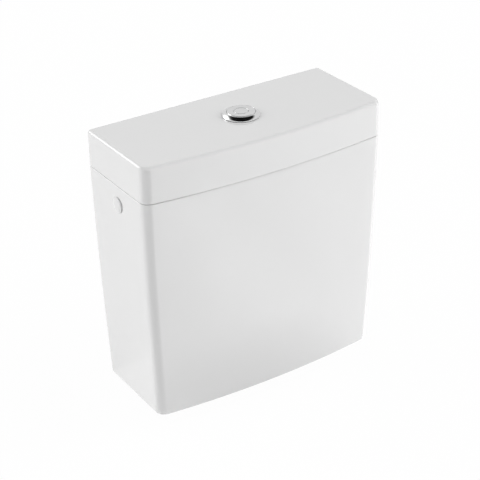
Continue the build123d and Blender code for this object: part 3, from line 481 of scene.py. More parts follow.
def lug_radius(base, tip, width, count, soft):
    """The radius of a ring with rounded grip lugs."""
    def radius(angle):
        away = tip * abs((angle + math.pi / count) % (math.tau / count) - math.pi / count)
        share = min(1.0, max(0.0, (width / 2 + soft - away) / soft))
        return base + (tip - base) * share * share * (3 - 2 * share)
    return radius


def lugged_ring(base, tip, width, count, low, high, bore, soft=2.0 * MM):
    edge = 0.8 * MM
    inner = lug_radius(base - edge, tip - edge, width, count, soft)
    outer = lug_radius(base, tip, width, count, soft)
    profile = [(bore + edge, low), (inner, low), (outer, low + edge), (outer, high - edge),
               (inner, high), (bore + edge, high), (bore, high - edge), (bore, low + edge)]
    return lathe(profile, 288)


def washer(outer, inner, low, high, edge, turn=Matrix.Identity(4), steps=72):
    corners = ((inner, low), (outer, low), (outer, high), (inner, high))
    return lathe(rounded([(*corner, edge) for corner in corners]), steps, turn)


def moved(x=0.0, y=0.0, z=0.0):
    return Matrix.Translation((x, y, z))


def tube_along(points, radius, sides=12):
    """A closed round tube along points, with flat ends."""
    made = bmesh.new()
    rows = []
    side = Vector((0, 0, 1)).cross(points[1] - points[0]).normalized()
    for i, point in enumerate(points):
        before, after = points[max(0, i - 1)], points[min(len(points) - 1, i + 1)]
        ahead = (after - before).normalized()
        side = (side - ahead * side.dot(ahead)).normalized()
        over = ahead.cross(side)
        rows.append([made.verts.new(point + (side * math.cos(math.tau * k / sides)
                                             + over * math.sin(math.tau * k / sides)) * radius)
                     for k in range(sides)])
    for low, high in zip(rows, rows[1:]):
        for k in range(sides):
            made.faces.new((low[k], low[(k + 1) % sides], high[(k + 1) % sides], high[k]))
    made.faces.new(rows[0])
    made.faces.new(rows[-1])
    return made


def coil(radius, wire, low, high, turns):
    """A compression spring with a closed turn at each end."""
    per_turn, points = 32, []
    total = int(per_turn * turns)
    flat = 0.9 * per_turn
    bottom, top = low + wire, high - wire
    for i in range(total + 1):
        share = min(max((i - flat) / (total - 2 * flat), 0.0), 1.0)
        pitch_part = 2 * wire * 1.15
        height = (bottom + pitch_part * min(i / flat, 1.0) * 0.9
                  + (top - bottom - 2 * pitch_part * 0.9) * share
                  + pitch_part * 0.9 * max(0.0, (i - total + flat) / flat))
        angle = math.tau * i / per_turn
        points.append(Vector((radius * math.cos(angle), radius * math.sin(angle), height)))
    return tube_along(points, wire)


def rounded(points, steps=5):
    """A closed profile from (radius, height, rounding) corners."""
    outline = []
    count = len(points)
    for i, (x, y, rounding) in enumerate(points):
        corner = Vector((x, y))
        if rounding <= 0:
            outline.append((x, y))
            continue
        before = (Vector(points[i - 1][:2]) - corner).normalized()
        after = (Vector(points[(i + 1) % count][:2]) - corner).normalized()
        half = before.angle(after) / 2
        start = corner + before * rounding / math.tan(half)
        end = corner + after * rounding / math.tan(half)
        centre = corner + (before + after).normalized() * rounding / math.sin(half)
        for step in range(steps + 1):
            share = step / steps
            first, last = (start - centre).normalized(), (end - centre).normalized()
            way = (first * math.sin((1 - share) * (math.pi - 2 * half))
                   + last * math.sin(share * (math.pi - 2 * half))) / math.sin(math.pi - 2 * half)
            outline.append(tuple(centre + way.normalized() * rounding))
    return outline


def cutter(profile, turn=Matrix.Identity(4), steps=64):
    data = bpy.data.meshes.new("cutter")
    made = lathe(profile, steps, turn)
    bmesh.ops.recalc_face_normals(made, faces=made.faces)
    made.to_mesh(data)
    made.free()
    shape = bpy.data.objects.new("cutter", data)
    bpy.context.scene.collection.objects.link(shape)
    return shape


def rod_profile(radius, low, high):
    return [(0, low), (radius, low), (radius, high), (0, high)]


def along_x(x, y, z):
    """A turn from +Z to +X, and a move."""
    return Matrix.Translation((x, y, z)) @ Matrix.Rotation(math.pi / 2, 4, "Y")


def along_y(x, y, z):
    return Matrix.Translation((x, y, z)) @ Matrix.Rotation(-math.pi / 2, 4, "X")


# Tank
OVERRUN = 20 * MM
INLET_LOW, INLET_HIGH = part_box("inlet_shank")
INLET_Y = (INLET_LOW.y + INLET_HIGH.y) / 2
INLET_Z = (INLET_LOW.z + INLET_HIGH.z) / 2
SIDE_SEAT = CERAMIC_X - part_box("side_plug_washer")[1].x
SIDE_BOSS = CERAMIC_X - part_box("side_plug_nut")[0].x
SIDE_HOLE_RADIUS = 8.8 * MM
SIDE_SEAT_RADIUS = 11.6 * MM
SIDE_BOSS_RADIUS = 16 * MM
OUTLET_HOLE_RADIUS = 32 * MM
BOLT_HOLE_RADIUS = 6.5 * MM
FIXING_RADIUS = 4 * MM
FIXING_X = 110 * MM
FIXING_Z = RIM - 45 * MM
BOLT_X = 78 * MM

tank = finished(skin(tank_rings()), "tank", "cistern_tank")
side_axis = along_x(CERAMIC_X, INLET_Y, INLET_Z)
boss_end = SIDE_BOSS + WALL / 2
cut(tank, [cutter(rod_profile(SIDE_BOSS_RADIUS, SIDE_BOSS, boss_end), side_axis),
           cutter(rod_profile(SIDE_BOSS_RADIUS, -boss_end, -SIDE_BOSS), side_axis)], "UNION")
side_reach = HALF_WIDTH + OVERRUN
holes = [cutter(rod_profile(OUTLET_HOLE_RADIUS, 0, FLOOR_TOP + OVERRUN)),
         cutter(rod_profile(SIDE_HOLE_RADIUS, -side_reach, side_reach), side_axis)]
for side in (-1, 1):
    seat = sorted((side * SIDE_SEAT, side * (SIDE_SEAT + OVERRUN)))
    holes.append(cutter(rod_profile(SIDE_SEAT_RADIUS, *seat), side_axis))
    holes.append(cutter(rod_profile(BOLT_HOLE_RADIUS, 0, FLOOR_TOP + OVERRUN),
                        moved(side * BOLT_X)))
    holes.append(cutter(rod_profile(FIXING_RADIUS, BACK - WALL - OVERRUN, BACK + OVERRUN),
                        along_y(CERAMIC_X + side * FIXING_X, 0, FIXING_Z), 48))
cut(tank, holes)


def lid_rings():
    """From the ceiling inside, down to the lip, round it, out to the edge and up to the top."""
    ceiling = LID_TOP - LID_WALL
    shelf = LID_BOTTOM + SHELF_HEIGHT
    lip_bottom = LID_BOTTOM - LIP_DEPTH
    lip_inner = LIP_INSET + LIP_WIDTH

    def lip_ring(level, inset):
        return tank_ring(RIM, inset, INNER_CORNER, INNER_CORNER, level)

    low, high, rows = LID_BOTTOM + RIM_ROUND, LID_TOP - LID_ROUND, 6
    rings = [inside(lid_ring, ceiling, LID_WALL + COVE + 2 * MM)]
    rings += [inside(lid_ring, ceiling - COVE * along, LID_WALL + COVE * aside)
              for aside, along in quarter(5)[::-1]]
    rings += [inside(lid_ring, shelf, LID_WALL), lip_ring(shelf, lip_inner)]
    rings += [lip_ring(lip_bottom + LIP_ROUND * along, lip_inner - LIP_ROUND * aside)
              for aside, along in quarter(4)]
    rings += [lip_ring(lip_bottom + LIP_ROUND * along, LIP_INSET + LIP_ROUND * aside)
              for aside, along in quarter(4)[::-1]]
    rings.append(lip_ring(LID_BOTTOM, LIP_INSET))
    rings += [eased(lid_ring, LID_BOTTOM + RIM_ROUND * along, RIM_ROUND * aside)
              for aside, along in quarter(4)[::-1]]
    rings += [lid_ring(low + (high - low) * i / rows) for i in range(1, rows + 1)]
    rings += [eased(lid_ring, LID_TOP - LID_ROUND * along, LID_ROUND * aside)
              for aside, along in quarter(8)[1:]]
    rings.append(lid_ring(LID_TOP, LID_ROUND + 1 * MM, FRONT_CORNER - LID_ROUND, LID_BACK_CORNER))
    return rings


BUTTON_HOLE_RADIUS = 22.3 * MM
lid = finished(skin(lid_rings()), "lid", "cistern_lid")
cut(lid, [cutter(rod_profile(BUTTON_HOLE_RADIUS, LID_TOP - LID_WALL - OVERRUN, LID_TOP + OVERRUN),
                 steps=96)])


def arc_through(first, middle, last, count):
    """Points on the arc from first, through middle, to last."""
    (ax, ay), (bx, by), (cx, cy) = first, middle, last
    a, b, c = (x ** 2 + y ** 2 for x, y in (first, middle, last))
    d = 2 * (ax * (by - cy) + bx * (cy - ay) + cx * (ay - by))
    ux = (a * (by - cy) + b * (cy - ay) + c * (ay - by)) / d
    uy = (a * (cx - bx) + b * (ax - cx) + c * (bx - ax)) / d
    radius = math.hypot(ax - ux, ay - uy)
    start = math.atan2(ay - uy, ax - ux)
    sweep = (math.atan2(cy - uy, cx - ux) - start + math.pi) % math.tau - math.pi
    return arc((ux, uy), radius, start, start + sweep, count)


def soft_box(low, high, radius, segments=3):
    """A box with rounded edges."""
    made = bmesh.new()
    bmesh.ops.create_cube(made, size=1)
    size = Vector(high) - Vector(low)
    made.transform(moved(*(Vector(low) + Vector(high)) / 2) @ Matrix.Diagonal((*size, 1)))
    bmesh.ops.bevel(made, geom=made.edges[:], offset=radius, segments=segments, affect="EDGES",
                    profile=0.5)
    return made


def plate(outline, thickness, radius, turn=Matrix.Identity(4)):
    """A flat shape in XZ, as thick as told along Y and centred on it, with rounded edges."""
    made = bmesh.new()
    front = [made.verts.new((x, -thickness / 2, z)) for x, z in outline]
    back = [made.verts.new((x, thickness / 2, z)) for x, z in outline]
    rims = [made.faces.new(front), made.faces.new(back)]
    for i in range(len(outline)):
        j = (i + 1) % len(outline)
        made.faces.new((front[i], front[j], back[j], back[i]))
    bmesh.ops.recalc_face_normals(made, faces=made.faces)
    edges = {edge for face in rims for edge in face.edges}
    bmesh.ops.bevel(made, geom=list(edges), offset=radius, segments=2, affect="EDGES", profile=0.5)
    made.transform(turn)
    return made


def swelling_bar(start, end, half, swells, rise=40):
    """The outline of a bar along X that swells to a circle at each place."""
    low = min([start] + [x - radius for x, radius in swells])
    high = max([end] + [x + radius for x, radius in swells])
    tops = []
    for i in range(rise * 2 + 1):
        x = low + (high - low) * (1 - math.cos(math.pi * i / (rise * 2))) / 2
        reach = half if start <= x <= end else 0.0
        for place, radius in swells:
            if abs(x - place) < radius:
                reach = max(reach, math.sqrt(radius ** 2 - (x - place) ** 2))
        tops.append((x, reach))
    tops = [(x, max(reach, 0.05 * MM)) for x, reach in tops]
    return [(x, reach) for x, reach in tops] + [(x, -reach) for x, reach in reversed(tops)]


# Button set
BEZEL_LOW, BEZEL_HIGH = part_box("button_bezel")
BEZEL_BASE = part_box("bezel_gasket")[1].z
SLEEVE_RADIUS = 21.8 * MM
SLEEVE_BORE = 19.9 * MM
SLEEVE_PITCH = 2.5 * MM
BEZEL_LIP = 1.0 * MM
BEZEL_EDGE = 1.3 * MM
BEZEL_SWELL = 0.35 * MM


def bezel_mesh():
    lip = (SLEEVE_BORE + BEZEL_LIP, BEZEL_HIGH.z)
    foot = (BEZEL_HIGH.x, BEZEL_BASE + BEZEL_EDGE)
    middle = ((lip[0] + foot[0]) / 2 + BEZEL_SWELL, (lip[1] + foot[1]) / 2 + BEZEL_SWELL)
    profile = rounded([(SLEEVE_BORE, BEZEL_LOW.z, 0.3 * MM), (SLEEVE_BORE, BEZEL_HIGH.z, 0.35 * MM),
                       (*lip, 0)], 4)
    profile += arc_through(lip, middle, foot, 12)[1:]
    profile += [(BEZEL_HIGH.x, BEZEL_BASE + 0.25 * MM), (BEZEL_HIGH.x - 0.25 * MM, BEZEL_BASE),
                (SLEEVE_RADIUS, BEZEL_BASE)]
    profile += reversed(threads(SLEEVE_RADIUS, BEZEL_LOW.z + 1 * MM, BEZEL_BASE - 1 * MM,
                                SLEEVE_PITCH, 0.7 * MM))
    profile += [(SLEEVE_RADIUS - 0.6 * MM, BEZEL_LOW.z)]
    return lathe(profile, 144, pitch=SLEEVE_PITCH)


finished(bezel_mesh(), "bezel", "button_bezel", 30)

BUTTON_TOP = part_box("full_flush_button")[1].z
BUTTON_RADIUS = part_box("full_flush_button")[1].x
HALF_BUTTON_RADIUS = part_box("half_flush_button")[1].x
BOSS_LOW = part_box("half_flush_button")[0].z
CENTRE_BORE = HALF_BUTTON_RADIUS + 0.3 * MM
ROD_OFFSET = 15.2 * MM
BUTTON_FOOT = BUTTON_TOP - 14 * MM
BUTTON_UNDER = BUTTON_TOP - 3 * MM
BUTTON_EDGE = 0.8 * MM
BUTTON_WALL = 1.8 * MM
HALF_BUTTON_WALL = 1.5 * MM
INNER_SLEEVE_FOOT = BUTTON_TOP - 18 * MM
BOSS_RADIUS = 3.9 * MM
ROD_HOLE_RADIUS = 2.55 * MM
ROD_HOLE_TOP = BOSS_LOW + 14 * MM
BROKEN_EDGE = 0.3 * MM
INNER_ROUND = 0.5 * MM


def full_button_mesh():
    wall, sleeve = BUTTON_RADIUS - BUTTON_WALL, CENTRE_BORE + BUTTON_WALL
    ring = rounded([(CENTRE_BORE, BUTTON_TOP, BUTTON_EDGE / 2),
                    (BUTTON_RADIUS, BUTTON_TOP, BUTTON_EDGE),
                    (BUTTON_RADIUS, BUTTON_FOOT, BROKEN_EDGE), (wall, BUTTON_FOOT, BROKEN_EDGE),
                    (wall, BUTTON_UNDER, INNER_ROUND), (sleeve, BUTTON_UNDER, INNER_ROUND),
                    (sleeve, INNER_SLEEVE_FOOT, BROKEN_EDGE),
                    (CENTRE_BORE, INNER_SLEEVE_FOOT, BROKEN_EDGE)])
    boss_top = BUTTON_UNDER + INNER_ROUND
    boss = [(0, ROD_HOLE_TOP), (ROD_HOLE_RADIUS, ROD_HOLE_TOP), (ROD_HOLE_RADIUS, BOSS_LOW),
            (BOSS_RADIUS, BOSS_LOW), (BOSS_RADIUS, boss_top), (0, boss_top)]
    return joined(lathe(ring, 144), lathe(boss, 40, moved(0, -ROD_OFFSET)))


def half_button_mesh():
    wall = HALF_BUTTON_RADIUS - HALF_BUTTON_WALL
    profile = rounded([(0, ROD_HOLE_TOP, 0), (0, BUTTON_TOP, 0),
                       (HALF_BUTTON_RADIUS, BUTTON_TOP, BUTTON_EDGE / 2),
                       (HALF_BUTTON_RADIUS, BUTTON_FOOT, BROKEN_EDGE),
                       (wall, BUTTON_FOOT, BROKEN_EDGE), (wall, BUTTON_UNDER, INNER_ROUND),
                       (BOSS_RADIUS, BUTTON_UNDER, INNER_ROUND),
                       (BOSS_RADIUS, BOSS_LOW, 0), (ROD_HOLE_RADIUS, BOSS_LOW, 0),
                       (ROD_HOLE_RADIUS, ROD_HOLE_TOP, 0)])
    return lathe(profile, 96)


finished(full_button_mesh(), "full_button", "full_flush_button", 30)
finished(half_button_mesh(), "half_button", "half_flush_button", 30)

NUT_LOW, NUT_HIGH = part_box("bezel_clamp_nut")
finished(lugged_ring(29 * MM, 32 * MM, 7 * MM, 6, NUT_LOW.z, NUT_HIGH.z, SLEEVE_RADIUS + 0.05 * MM),
         "clamp_nut", "bezel_clamp_nut")

for node, radius, wire, turns, joint, travel in (
        ("full_button_spring", 10.6 * MM, 0.45 * MM, 6, "full_flush_press", 8 * MM),
        ("half_button_spring", 5.6 * MM, 0.4 * MM, 8, "half_flush_press", 6 * MM)):
    low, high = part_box("button_guide")[1].z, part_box(node)[1].z
    spring = finished(coil(radius, wire, low, high, turns), node + "_coil", node, 60)
    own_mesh(spring)

# Push rods, threaded at the foot so that their length can be set
ROD_RADIUS = 2.5 * MM
ROD_PITCH = 1.5 * MM
for node, y in (("full_push_rod", -ROD_OFFSET), ("half_push_rod", 0)):
    low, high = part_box(node)[0].z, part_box(node)[1].z
    profile = [(0, low), (ROD_RADIUS - 0.6 * MM, low), (ROD_RADIUS, low + 0.6 * MM)]
    profile += threads(ROD_RADIUS, low + 3 * MM, low + 38 * MM, ROD_PITCH, 0.35 * MM)
    profile += [(ROD_RADIUS, high - 0.5 * MM), (ROD_RADIUS - 0.5 * MM, high), (0, high)]
    finished(lathe(profile, 32, moved(0, y), ROD_PITCH), node + "_turned", node)

# Outlet: valve base with its threaded tail, nut, washer and seal
TAIL_RADIUS = 29.8 * MM
TAIL_BORE = 24.5 * MM
TAIL_PITCH = 3 * MM
BASE_RADIUS = 40 * MM
THROAT_RADIUS = 31 * MM
SEAT_OUTER = 27.1 * MM
SEAT_INNER = 25.5 * MM
SPIDER_OUTER = 16.9 * MM
SPIDER_INNER = 14.3 * MM
SPIDER_HEIGHT = 14 * MM


def valve_base_mesh():
    low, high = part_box("valve_base")[0].z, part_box("valve_base")[1].z
    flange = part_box("base_washer")[1].z
    flange_top, throat_top = flange + 4 * MM, high - 1 * MM
    spider = FLOOR_TOP - 5 * MM
    edge = 0.8 * MM
    profile = [(TAIL_BORE, low + edge), (TAIL_BORE + edge, low), (TAIL_RADIUS - edge, low)]
    profile += threads(TAIL_RADIUS, low + edge, FLOOR_TOP - 2 * MM, TAIL_PITCH, 1.1 * MM)
    profile += rounded([(TAIL_RADIUS, flange, 0), (BASE_RADIUS, flange, 0.6 * MM),
                        (BASE_RADIUS, flange_top, 1 * MM), (THROAT_RADIUS, flange_top, 0.8 * MM),
                        (THROAT_RADIUS, throat_top, 0.8 * MM), (SEAT_OUTER, throat_top, 0.3 * MM),
                        (SEAT_OUTER, high, 0.4 * MM), (SEAT_INNER, high, 0.4 * MM),
                        (SEAT_INNER, spider, 0)], 4)
    profile += [(TAIL_BORE, spider)]
    spider_top = spider + SPIDER_HEIGHT
    parts = [lathe(profile, 144, pitch=TAIL_PITCH),
             washer(SPIDER_OUTER, SPIDER_INNER, spider, spider_top, 0.5 * MM)]
    for step in range(4):
        rib = soft_box((16 * MM, -1.5 * MM, spider), (26.5 * MM, 1.5 * MM, spider_top), 0.5 * MM)
        rib.transform(Matrix.Rotation(step * math.pi / 2, 4, "Z"))
        parts.append(rib)
    return joined(*parts)


finished(valve_base_mesh(), "valve_base_moulded", "valve_base", 30)
low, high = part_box("base_washer")
finished(washer(high.x, TAIL_RADIUS + 0.3 * MM, low.z, high.z, 0.6 * MM, steps=120), "base_seal",
         "base_washer")
low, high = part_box("tail_backnut")
finished(lugged_ring(37.5 * MM, 40.5 * MM, 9 * MM, 8, low.z, high.z, TAIL_RADIUS + 0.05 * MM),
         "tail_nut", "tail_backnut")
low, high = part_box("pan_seal")
finished(washer(43 * MM, TAIL_RADIUS + 0.3 * MM, low.z, high.z, 4 * MM, steps=120), "pan_seal_foam",
         "pan_seal")

# Coupling bolts with their washers and wing nuts
CONE_LOW, CONE_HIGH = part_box("bolt_cone_washers")
BOLT_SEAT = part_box("bolt_head_washers")[1].z
BOLT_LOW, BOLT_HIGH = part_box("coupling_bolts")
WING_LOW, WING_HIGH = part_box("wing_nuts")
BOLT_RADIUS = 4 * MM
BOLT_PITCH = 1.25 * MM
BOLT_BORE = 4.1 * MM


def both_sides(make):
    """The same closed mesh at both bolts."""
    return joined(*[make(moved(side * BOLT_X)) for side in (-1, 1)])


def cone_washer(turn):
    return lathe(rounded([(BOLT_BORE, CONE_LOW.z, 0.3 * MM), (6.2 * MM, CONE_LOW.z, 0.5 * MM),
                          (6.2 * MM, FLOOR_TOP, 0.3 * MM), (12 * MM, FLOOR_TOP, 0.8 * MM),
                          (12 * MM, FLOOR_TOP + 4 * MM, 1 * MM), (8 * MM, CONE_HIGH.z, 0.8 * MM),
                          (BOLT_BORE, CONE_HIGH.z, 0.3 * MM)]), 64, turn)


def bolt(turn):
    """An M8 bolt: threaded to its head, with a chamfered tip."""
    seat = BOLT_SEAT
    profile = [(0, BOLT_LOW.z), (3.1 * MM, BOLT_LOW.z), (BOLT_RADIUS, BOLT_LOW.z + 1 * MM)]
    profile += threads(BOLT_RADIUS, BOLT_LOW.z + 1.1 * MM, seat - 8 * MM, BOLT_PITCH, 0.65 * MM)
    profile += [(3.8 * MM, seat - 7 * MM), (3.8 * MM, seat + 1 * MM), (0, seat + 1 * MM)]
    head = [(0, seat), (6.2 * MM, seat)]
    for share, height in ((0.0, 0.0), (1.0, 0.6), (1.0, 4.4), (0.5, 5.0), (0.0, 5.3)):
        head.append((polygon_radius(13 * MM, 6, 6.4 * MM + 1.1 * MM * share), seat + height * MM))
    head += [(5.6 * MM, BOLT_HIGH.z), (0, BOLT_HIGH.z)]
    return joined(lathe(profile, 36, turn, BOLT_PITCH), lathe(head, 72, turn))


def wing_nut(turn):
    low, top = WING_LOW.z, WING_HIGH.z
    parts = [lathe(rounded([(BOLT_BORE, low, 0.3 * MM), (5 * MM, low, 0.8 * MM),
                            (6.5 * MM, top - 3 * MM, 1 * MM), (6.5 * MM, top, 0.5 * MM),
                            (BOLT_BORE, top, 0.3 * MM)]), 48, turn)]
    for way in (1, -1):
        outline = [(way * x * MM, low + z * MM) for x, z in
                   ((4.4, 7.6), (7.5, 8), (11, 7.4), (14, 5.8), (15, 3.8), (14.4, 1.6), (12.4, 0.3),
                    (9.6, 0.2), (7.4, 1.4), (4.4, 2.2))]
        parts.append(plate(outline, 2.6 * MM, 0.7 * MM, turn))
    return joined(*parts)


finished(both_sides(bolt), "bolts", "coupling_bolts", 30)
finished(both_sides(cone_washer), "cone_washers", "bolt_cone_washers")
for name, radius, edge in (("head_washers", 8.5 * MM, 0.3 * MM),
                           ("rubber_washers", 11 * MM, 0.5 * MM),
                           ("plate_washers", 12 * MM, 0.3 * MM)):
    low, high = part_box("bolt_" + name)
    finished(both_sides(lambda turn: washer(radius, BOLT_BORE, low.z, high.z, edge, turn, 56)),
             name, "bolt_" + name)
finished(both_sides(wing_nut), "wing_nut_pair", "wing_nuts")

# Inlet: threaded shank, nut and washers
THREAD_RADIUS = 8.33 * MM
SHANK_RADIUS = 8.1 * MM
SHANK_BORE = SHANK_RADIUS + 0.1 * MM
FLANGE_RADIUS = 14 * MM
NOZZLE_RADIUS = 8 * MM
INLET_BORE = 5 * MM
INLET_PITCH = 1.337 * MM
THREAD_DEPTH = 0.86 * MM
inlet_turn = along_x(0, INLET_Y, INLET_Z)


def shank_mesh():
    low, high = INLET_LOW.x, INLET_HIGH.x
    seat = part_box("inlet_inner_washer")[0].x
    profile = rounded([(INLET_BORE, high, 0.4 * MM), (INLET_BORE, low, 0.4 * MM),
                       (NOZZLE_RADIUS, low, 0.6 * MM), (NOZZLE_RADIUS, seat - 3 * MM, 0),
                       (FLANGE_RADIUS, seat - 3 * MM, 0.5 * MM), (FLANGE_RADIUS, seat, 0.3 * MM),
                       (SHANK_RADIUS, seat, 0)], 4)
    profile += threads(THREAD_RADIUS, seat + 1.5 * MM, high - 1 * MM, INLET_PITCH, THREAD_DEPTH)
    profile += [(THREAD_RADIUS - THREAD_DEPTH, high)]
    return lathe(profile, 96, inlet_turn, INLET_PITCH)


finished(shank_mesh(), "inlet_tail", "inlet_shank", 30)
low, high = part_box("inlet_backnut")
finished(nut(22 * MM, 6, low.x, high.x, THREAD_RADIUS + 0.05 * MM, 1.3 * MM, inlet_turn),
         "inlet_nut", "inlet_backnut")
low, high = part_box("inlet_outer_washer")
finished(washer(11.3 * MM, SHANK_BORE, low.x, high.x, 0.4 * MM, inlet_turn), "inlet_washer",
         "inlet_outer_washer")
low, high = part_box("inlet_inner_washer")
finished(washer(FLANGE_RADIUS, SHANK_BORE, low.x, high.x, 0.5 * MM, inlet_turn), "inlet_seal",
         "inlet_inner_washer")

# Blanking plug
PLUG_LOW, PLUG_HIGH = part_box("side_plug")
PLUG_BORE = 6.1 * MM
PLUG_TIP = 7.5 * MM
PLUG_HEAD = 11.1 * MM
PLUG_EDGE = 1.3 * MM
PLUG_SHOULDER = 0.9 * MM
PLUG_SKIRT = 10.0 * MM
PLUG_WASHER = 9.8 * MM
PLUG_NUT_CORNER = 13 * MM
PLUG_NUT_SIDES = 8


def plug_mesh():
    """A domed head with a soft shoulder and a skirt round its washer, on a threaded shank."""
    face = -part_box("side_plug_washer")[0].x
    skirt = face - 0.8 * (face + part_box("side_plug_washer")[1].x)
    crown, shank_end = -PLUG_LOW.x, -PLUG_HIGH.x
    edge = face + PLUG_EDGE
    swell = (PLUG_HEAD ** 2 + (crown - edge) ** 2) / (2 * (crown - edge))
    dome = []
    for step in range(9):
        reach = PLUG_HEAD * 0.84 * (1 - step / 8)
        dome.append((reach, crown - swell + math.sqrt(swell ** 2 - reach ** 2), 0))
    profile = [(PLUG_BORE, shank_end), (PLUG_TIP, shank_end)]
    profile += threads(SHANK_RADIUS, shank_end + 0.6 * MM, face - 1.5 * MM, INLET_PITCH, 0.6 * MM)
    bottom = face - 1 * MM
    profile += rounded([(SHANK_RADIUS, face, 0), (PLUG_SKIRT, face, 0),
                        (PLUG_SKIRT, skirt, BROKEN_EDGE), (PLUG_HEAD, skirt, BROKEN_EDGE),
                        (PLUG_HEAD, edge, PLUG_SHOULDER)]
                       + dome + [(0, bottom, 0), (PLUG_BORE, bottom, 0)], 6)
    turn = Matrix.Rotation(math.pi, 4, "Z") @ along_x(0, -INLET_Y, INLET_Z)
    return lathe(profile, 96, turn, INLET_PITCH)


finished(plug_mesh(), "plug", "side_plug", 40)
low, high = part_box("side_plug_nut")
plug_nut_flat = 2 * PLUG_NUT_CORNER * math.cos(math.pi / PLUG_NUT_SIDES)
finished(nut(plug_nut_flat, PLUG_NUT_SIDES, low.x, high.x, SHANK_RADIUS + 0.05 * MM, 1.2 * MM,
             inlet_turn), "plug_nut", "side_plug_nut")
low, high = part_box("side_plug_washer")
finished(washer(PLUG_WASHER, SHANK_BORE, low.x, high.x, 0.3 * MM, inlet_turn), "plug_washer",
         "side_plug_washer")

# Levers
low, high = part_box("full_flush_lever")
LEVER_Z = (low.z + high.z) / 2
LEVER_LENGTH = 52 * MM
LEVER_PIVOT = 22 * MM
for node in ("full_flush_lever", "half_flush_lever"):
    low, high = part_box(node)
    outline = swelling_bar(0, LEVER_LENGTH, 2 * MM,
                           ((0, 3 * MM), (LEVER_PIVOT, 5 * MM), (LEVER_LENGTH, 2.5 * MM)))
    place = moved(0, (low.y + high.y) / 2, LEVER_Z)
    finished(plate(outline, high.y - low.y, 0.5 * MM, place), node + "_arm", node)

# Pads under the lid
low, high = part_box("lid_pads")
PAD_WIDTH, PAD_LENGTH = 5 * MM, 16 * MM
pads = []
for start_x in (low.x, high.x - PAD_WIDTH):
    for start_y in (low.y, high.y - PAD_LENGTH):
        pads.append(soft_box((start_x, start_y, low.z),
                             (start_x + PAD_WIDTH, start_y + PAD_LENGTH, high.z), 0.35 * MM))
finished(joined(*pads), "rim_pads", "lid_pads")

# Moulded and turned edges of the pieces that keep the CAD's own mesh
EDGE_SOFTNESS = 0.35 * MM
for node, item in frame["nodes"].items():
    if node in stood_for:
        continue
    soft = item.modifiers.new("soft_edges", "BEVEL")
    soft.width = EDGE_SOFTNESS
    soft.segments = 2
    soft.limit_method = "ANGLE"
    soft.angle_limit = math.radians(SHARP)
    soft.use_clamp_overlap = True

# Camera, fitted to the outline in the photo
FOCAL_PIXELS = 1441.90
FRAME_PIXELS = 480
AZIMUTH = -32.193
ELEVATION = 28.624
ROLL = -1.5176
DISTANCE = 2.05065
TARGET = Vector((CERAMIC_X, 0.007, 0.180))
MOVE_RIGHT = 0.000656
MOVE_UP = 0.011972


def place_camera():
    azimuth, elevation, roll = (math.radians(angle) for angle in (AZIMUTH, ELEVATION, ROLL))
    back = Vector((math.sin(azimuth) * math.cos(elevation),
                   -math.cos(azimuth) * math.cos(elevation), math.sin(elevation)))
    right = Vector((math.cos(azimuth), math.sin(azimuth), 0))
    up = back.cross(right)
    eye = TARGET + right * MOVE_RIGHT + up * MOVE_UP + back * DISTANCE
    turned_right = right * math.cos(roll) + up * math.sin(roll)
    turned_up = up * math.cos(roll) - right * math.sin(roll)
    data = bpy.data.cameras.new("camera")
    data.sensor_width = 36
    data.lens = FOCAL_PIXELS / FRAME_PIXELS * data.sensor_width
    camera = bpy.data.objects.new("camera", data)
    camera.matrix_world = Matrix((
        (turned_right.x, turned_up.x, back.x, eye.x),
        (turned_right.y, turned_up.y, back.y, eye.y),
        (turned_right.z, turned_up.z, back.z, eye.z),
        (0, 0, 0, 1)))
    bpy.context.scene.collection.objects.link(camera)
    bpy.context.scene.camera = camera


# Studio: broad soft glows of light, each with its azimuth from the front towards +X, its elevation,
# its strength and how narrow it is. They alone leave every side of the object below white, but a
# side seen aslant can reach white with what the glaze mirrors. Gloss sees a pale horizon that fades
# to dark between two elevations, and one lamp.
GLOWS = ((60, 31, 4.3, 7.8), (-119, 5, 1.67, 1.0))
AMBIENT = 0.059
HORIZON_WHITE = 0.7
HORIZON_FADE = (40, 51)
GLOSS_DARK = 0.005
GLOSS_LAMP = (-145, 24, 3.6, 24.0)

# The floor: how white the camera sees it, and what the glaze mirrors of it. That is an even level,
# soft cards of painted reflection, each with its strength and where it starts, is full, is still
# full and ends across and along the floor, and pools of painted light and painted shade, each with
# its place, its reach and its strength. Cards and pools are painted into the floor's glow that only
# gloss sees; the strong dark pool in front of the object is a painted shadow of it.
FLOOR_WHITE = 0.975
FLOOR_GLOSS = 0.93
MOST_GLOSS = 1.5
PAINTED_REFLECTION_CARDS = ((0.64, (-0.25, 0.55, 5.0, 6.0), (-6.0, -5.0, -0.03, 0.03)),
         (-0.6, (-6.0, -5.0, -0.24, -0.17), (-6.0, -5.0, -0.1, 0.0)),
         (0.42, (-0.1, 0.2, 0.202, 0.218), (-0.9, -0.6, -0.28, -0.15)),
         (0.12, (-0.5, -0.3, -0.2, -0.15), (-0.2, 0.0, 0.102, 0.112)))
PAINTED_LIGHT_AND_SHADE_POOLS = ((-0.03, -0.13, 0.18, 0.085, -0.65), (0.30, -0.19, 0.14, 0.10, 0.15),
         (0.21, -0.10, 0.06, 0.06, 0.32))
FLOOR_RADIUS = 6.0


def direction(azimuth, elevation):
    azimuth, elevation = math.radians(azimuth), math.radians(elevation)
    return (math.sin(azimuth) * math.cos(elevation), -math.cos(azimuth) * math.cos(elevation),
            math.sin(elevation))


def calculated(tree, operation, first, second):
    """A Math node over two values, each a number or a socket."""
    node = tree.nodes.new("ShaderNodeMath")
    node.operation = operation
    for socket, value in zip(node.inputs, (first, second)):
        feed(tree, socket, value)
    return node.outputs["Value"]


def ray_of(tree, *names):
    """1 for a ray of one of the named kinds."""
    path = tree.nodes.new("ShaderNodeLightPath")
    kind = path.outputs[names[0]]
    for name in names[1:]:
        kind = calculated(tree, "MAXIMUM", kind, path.outputs[name])
    return kind


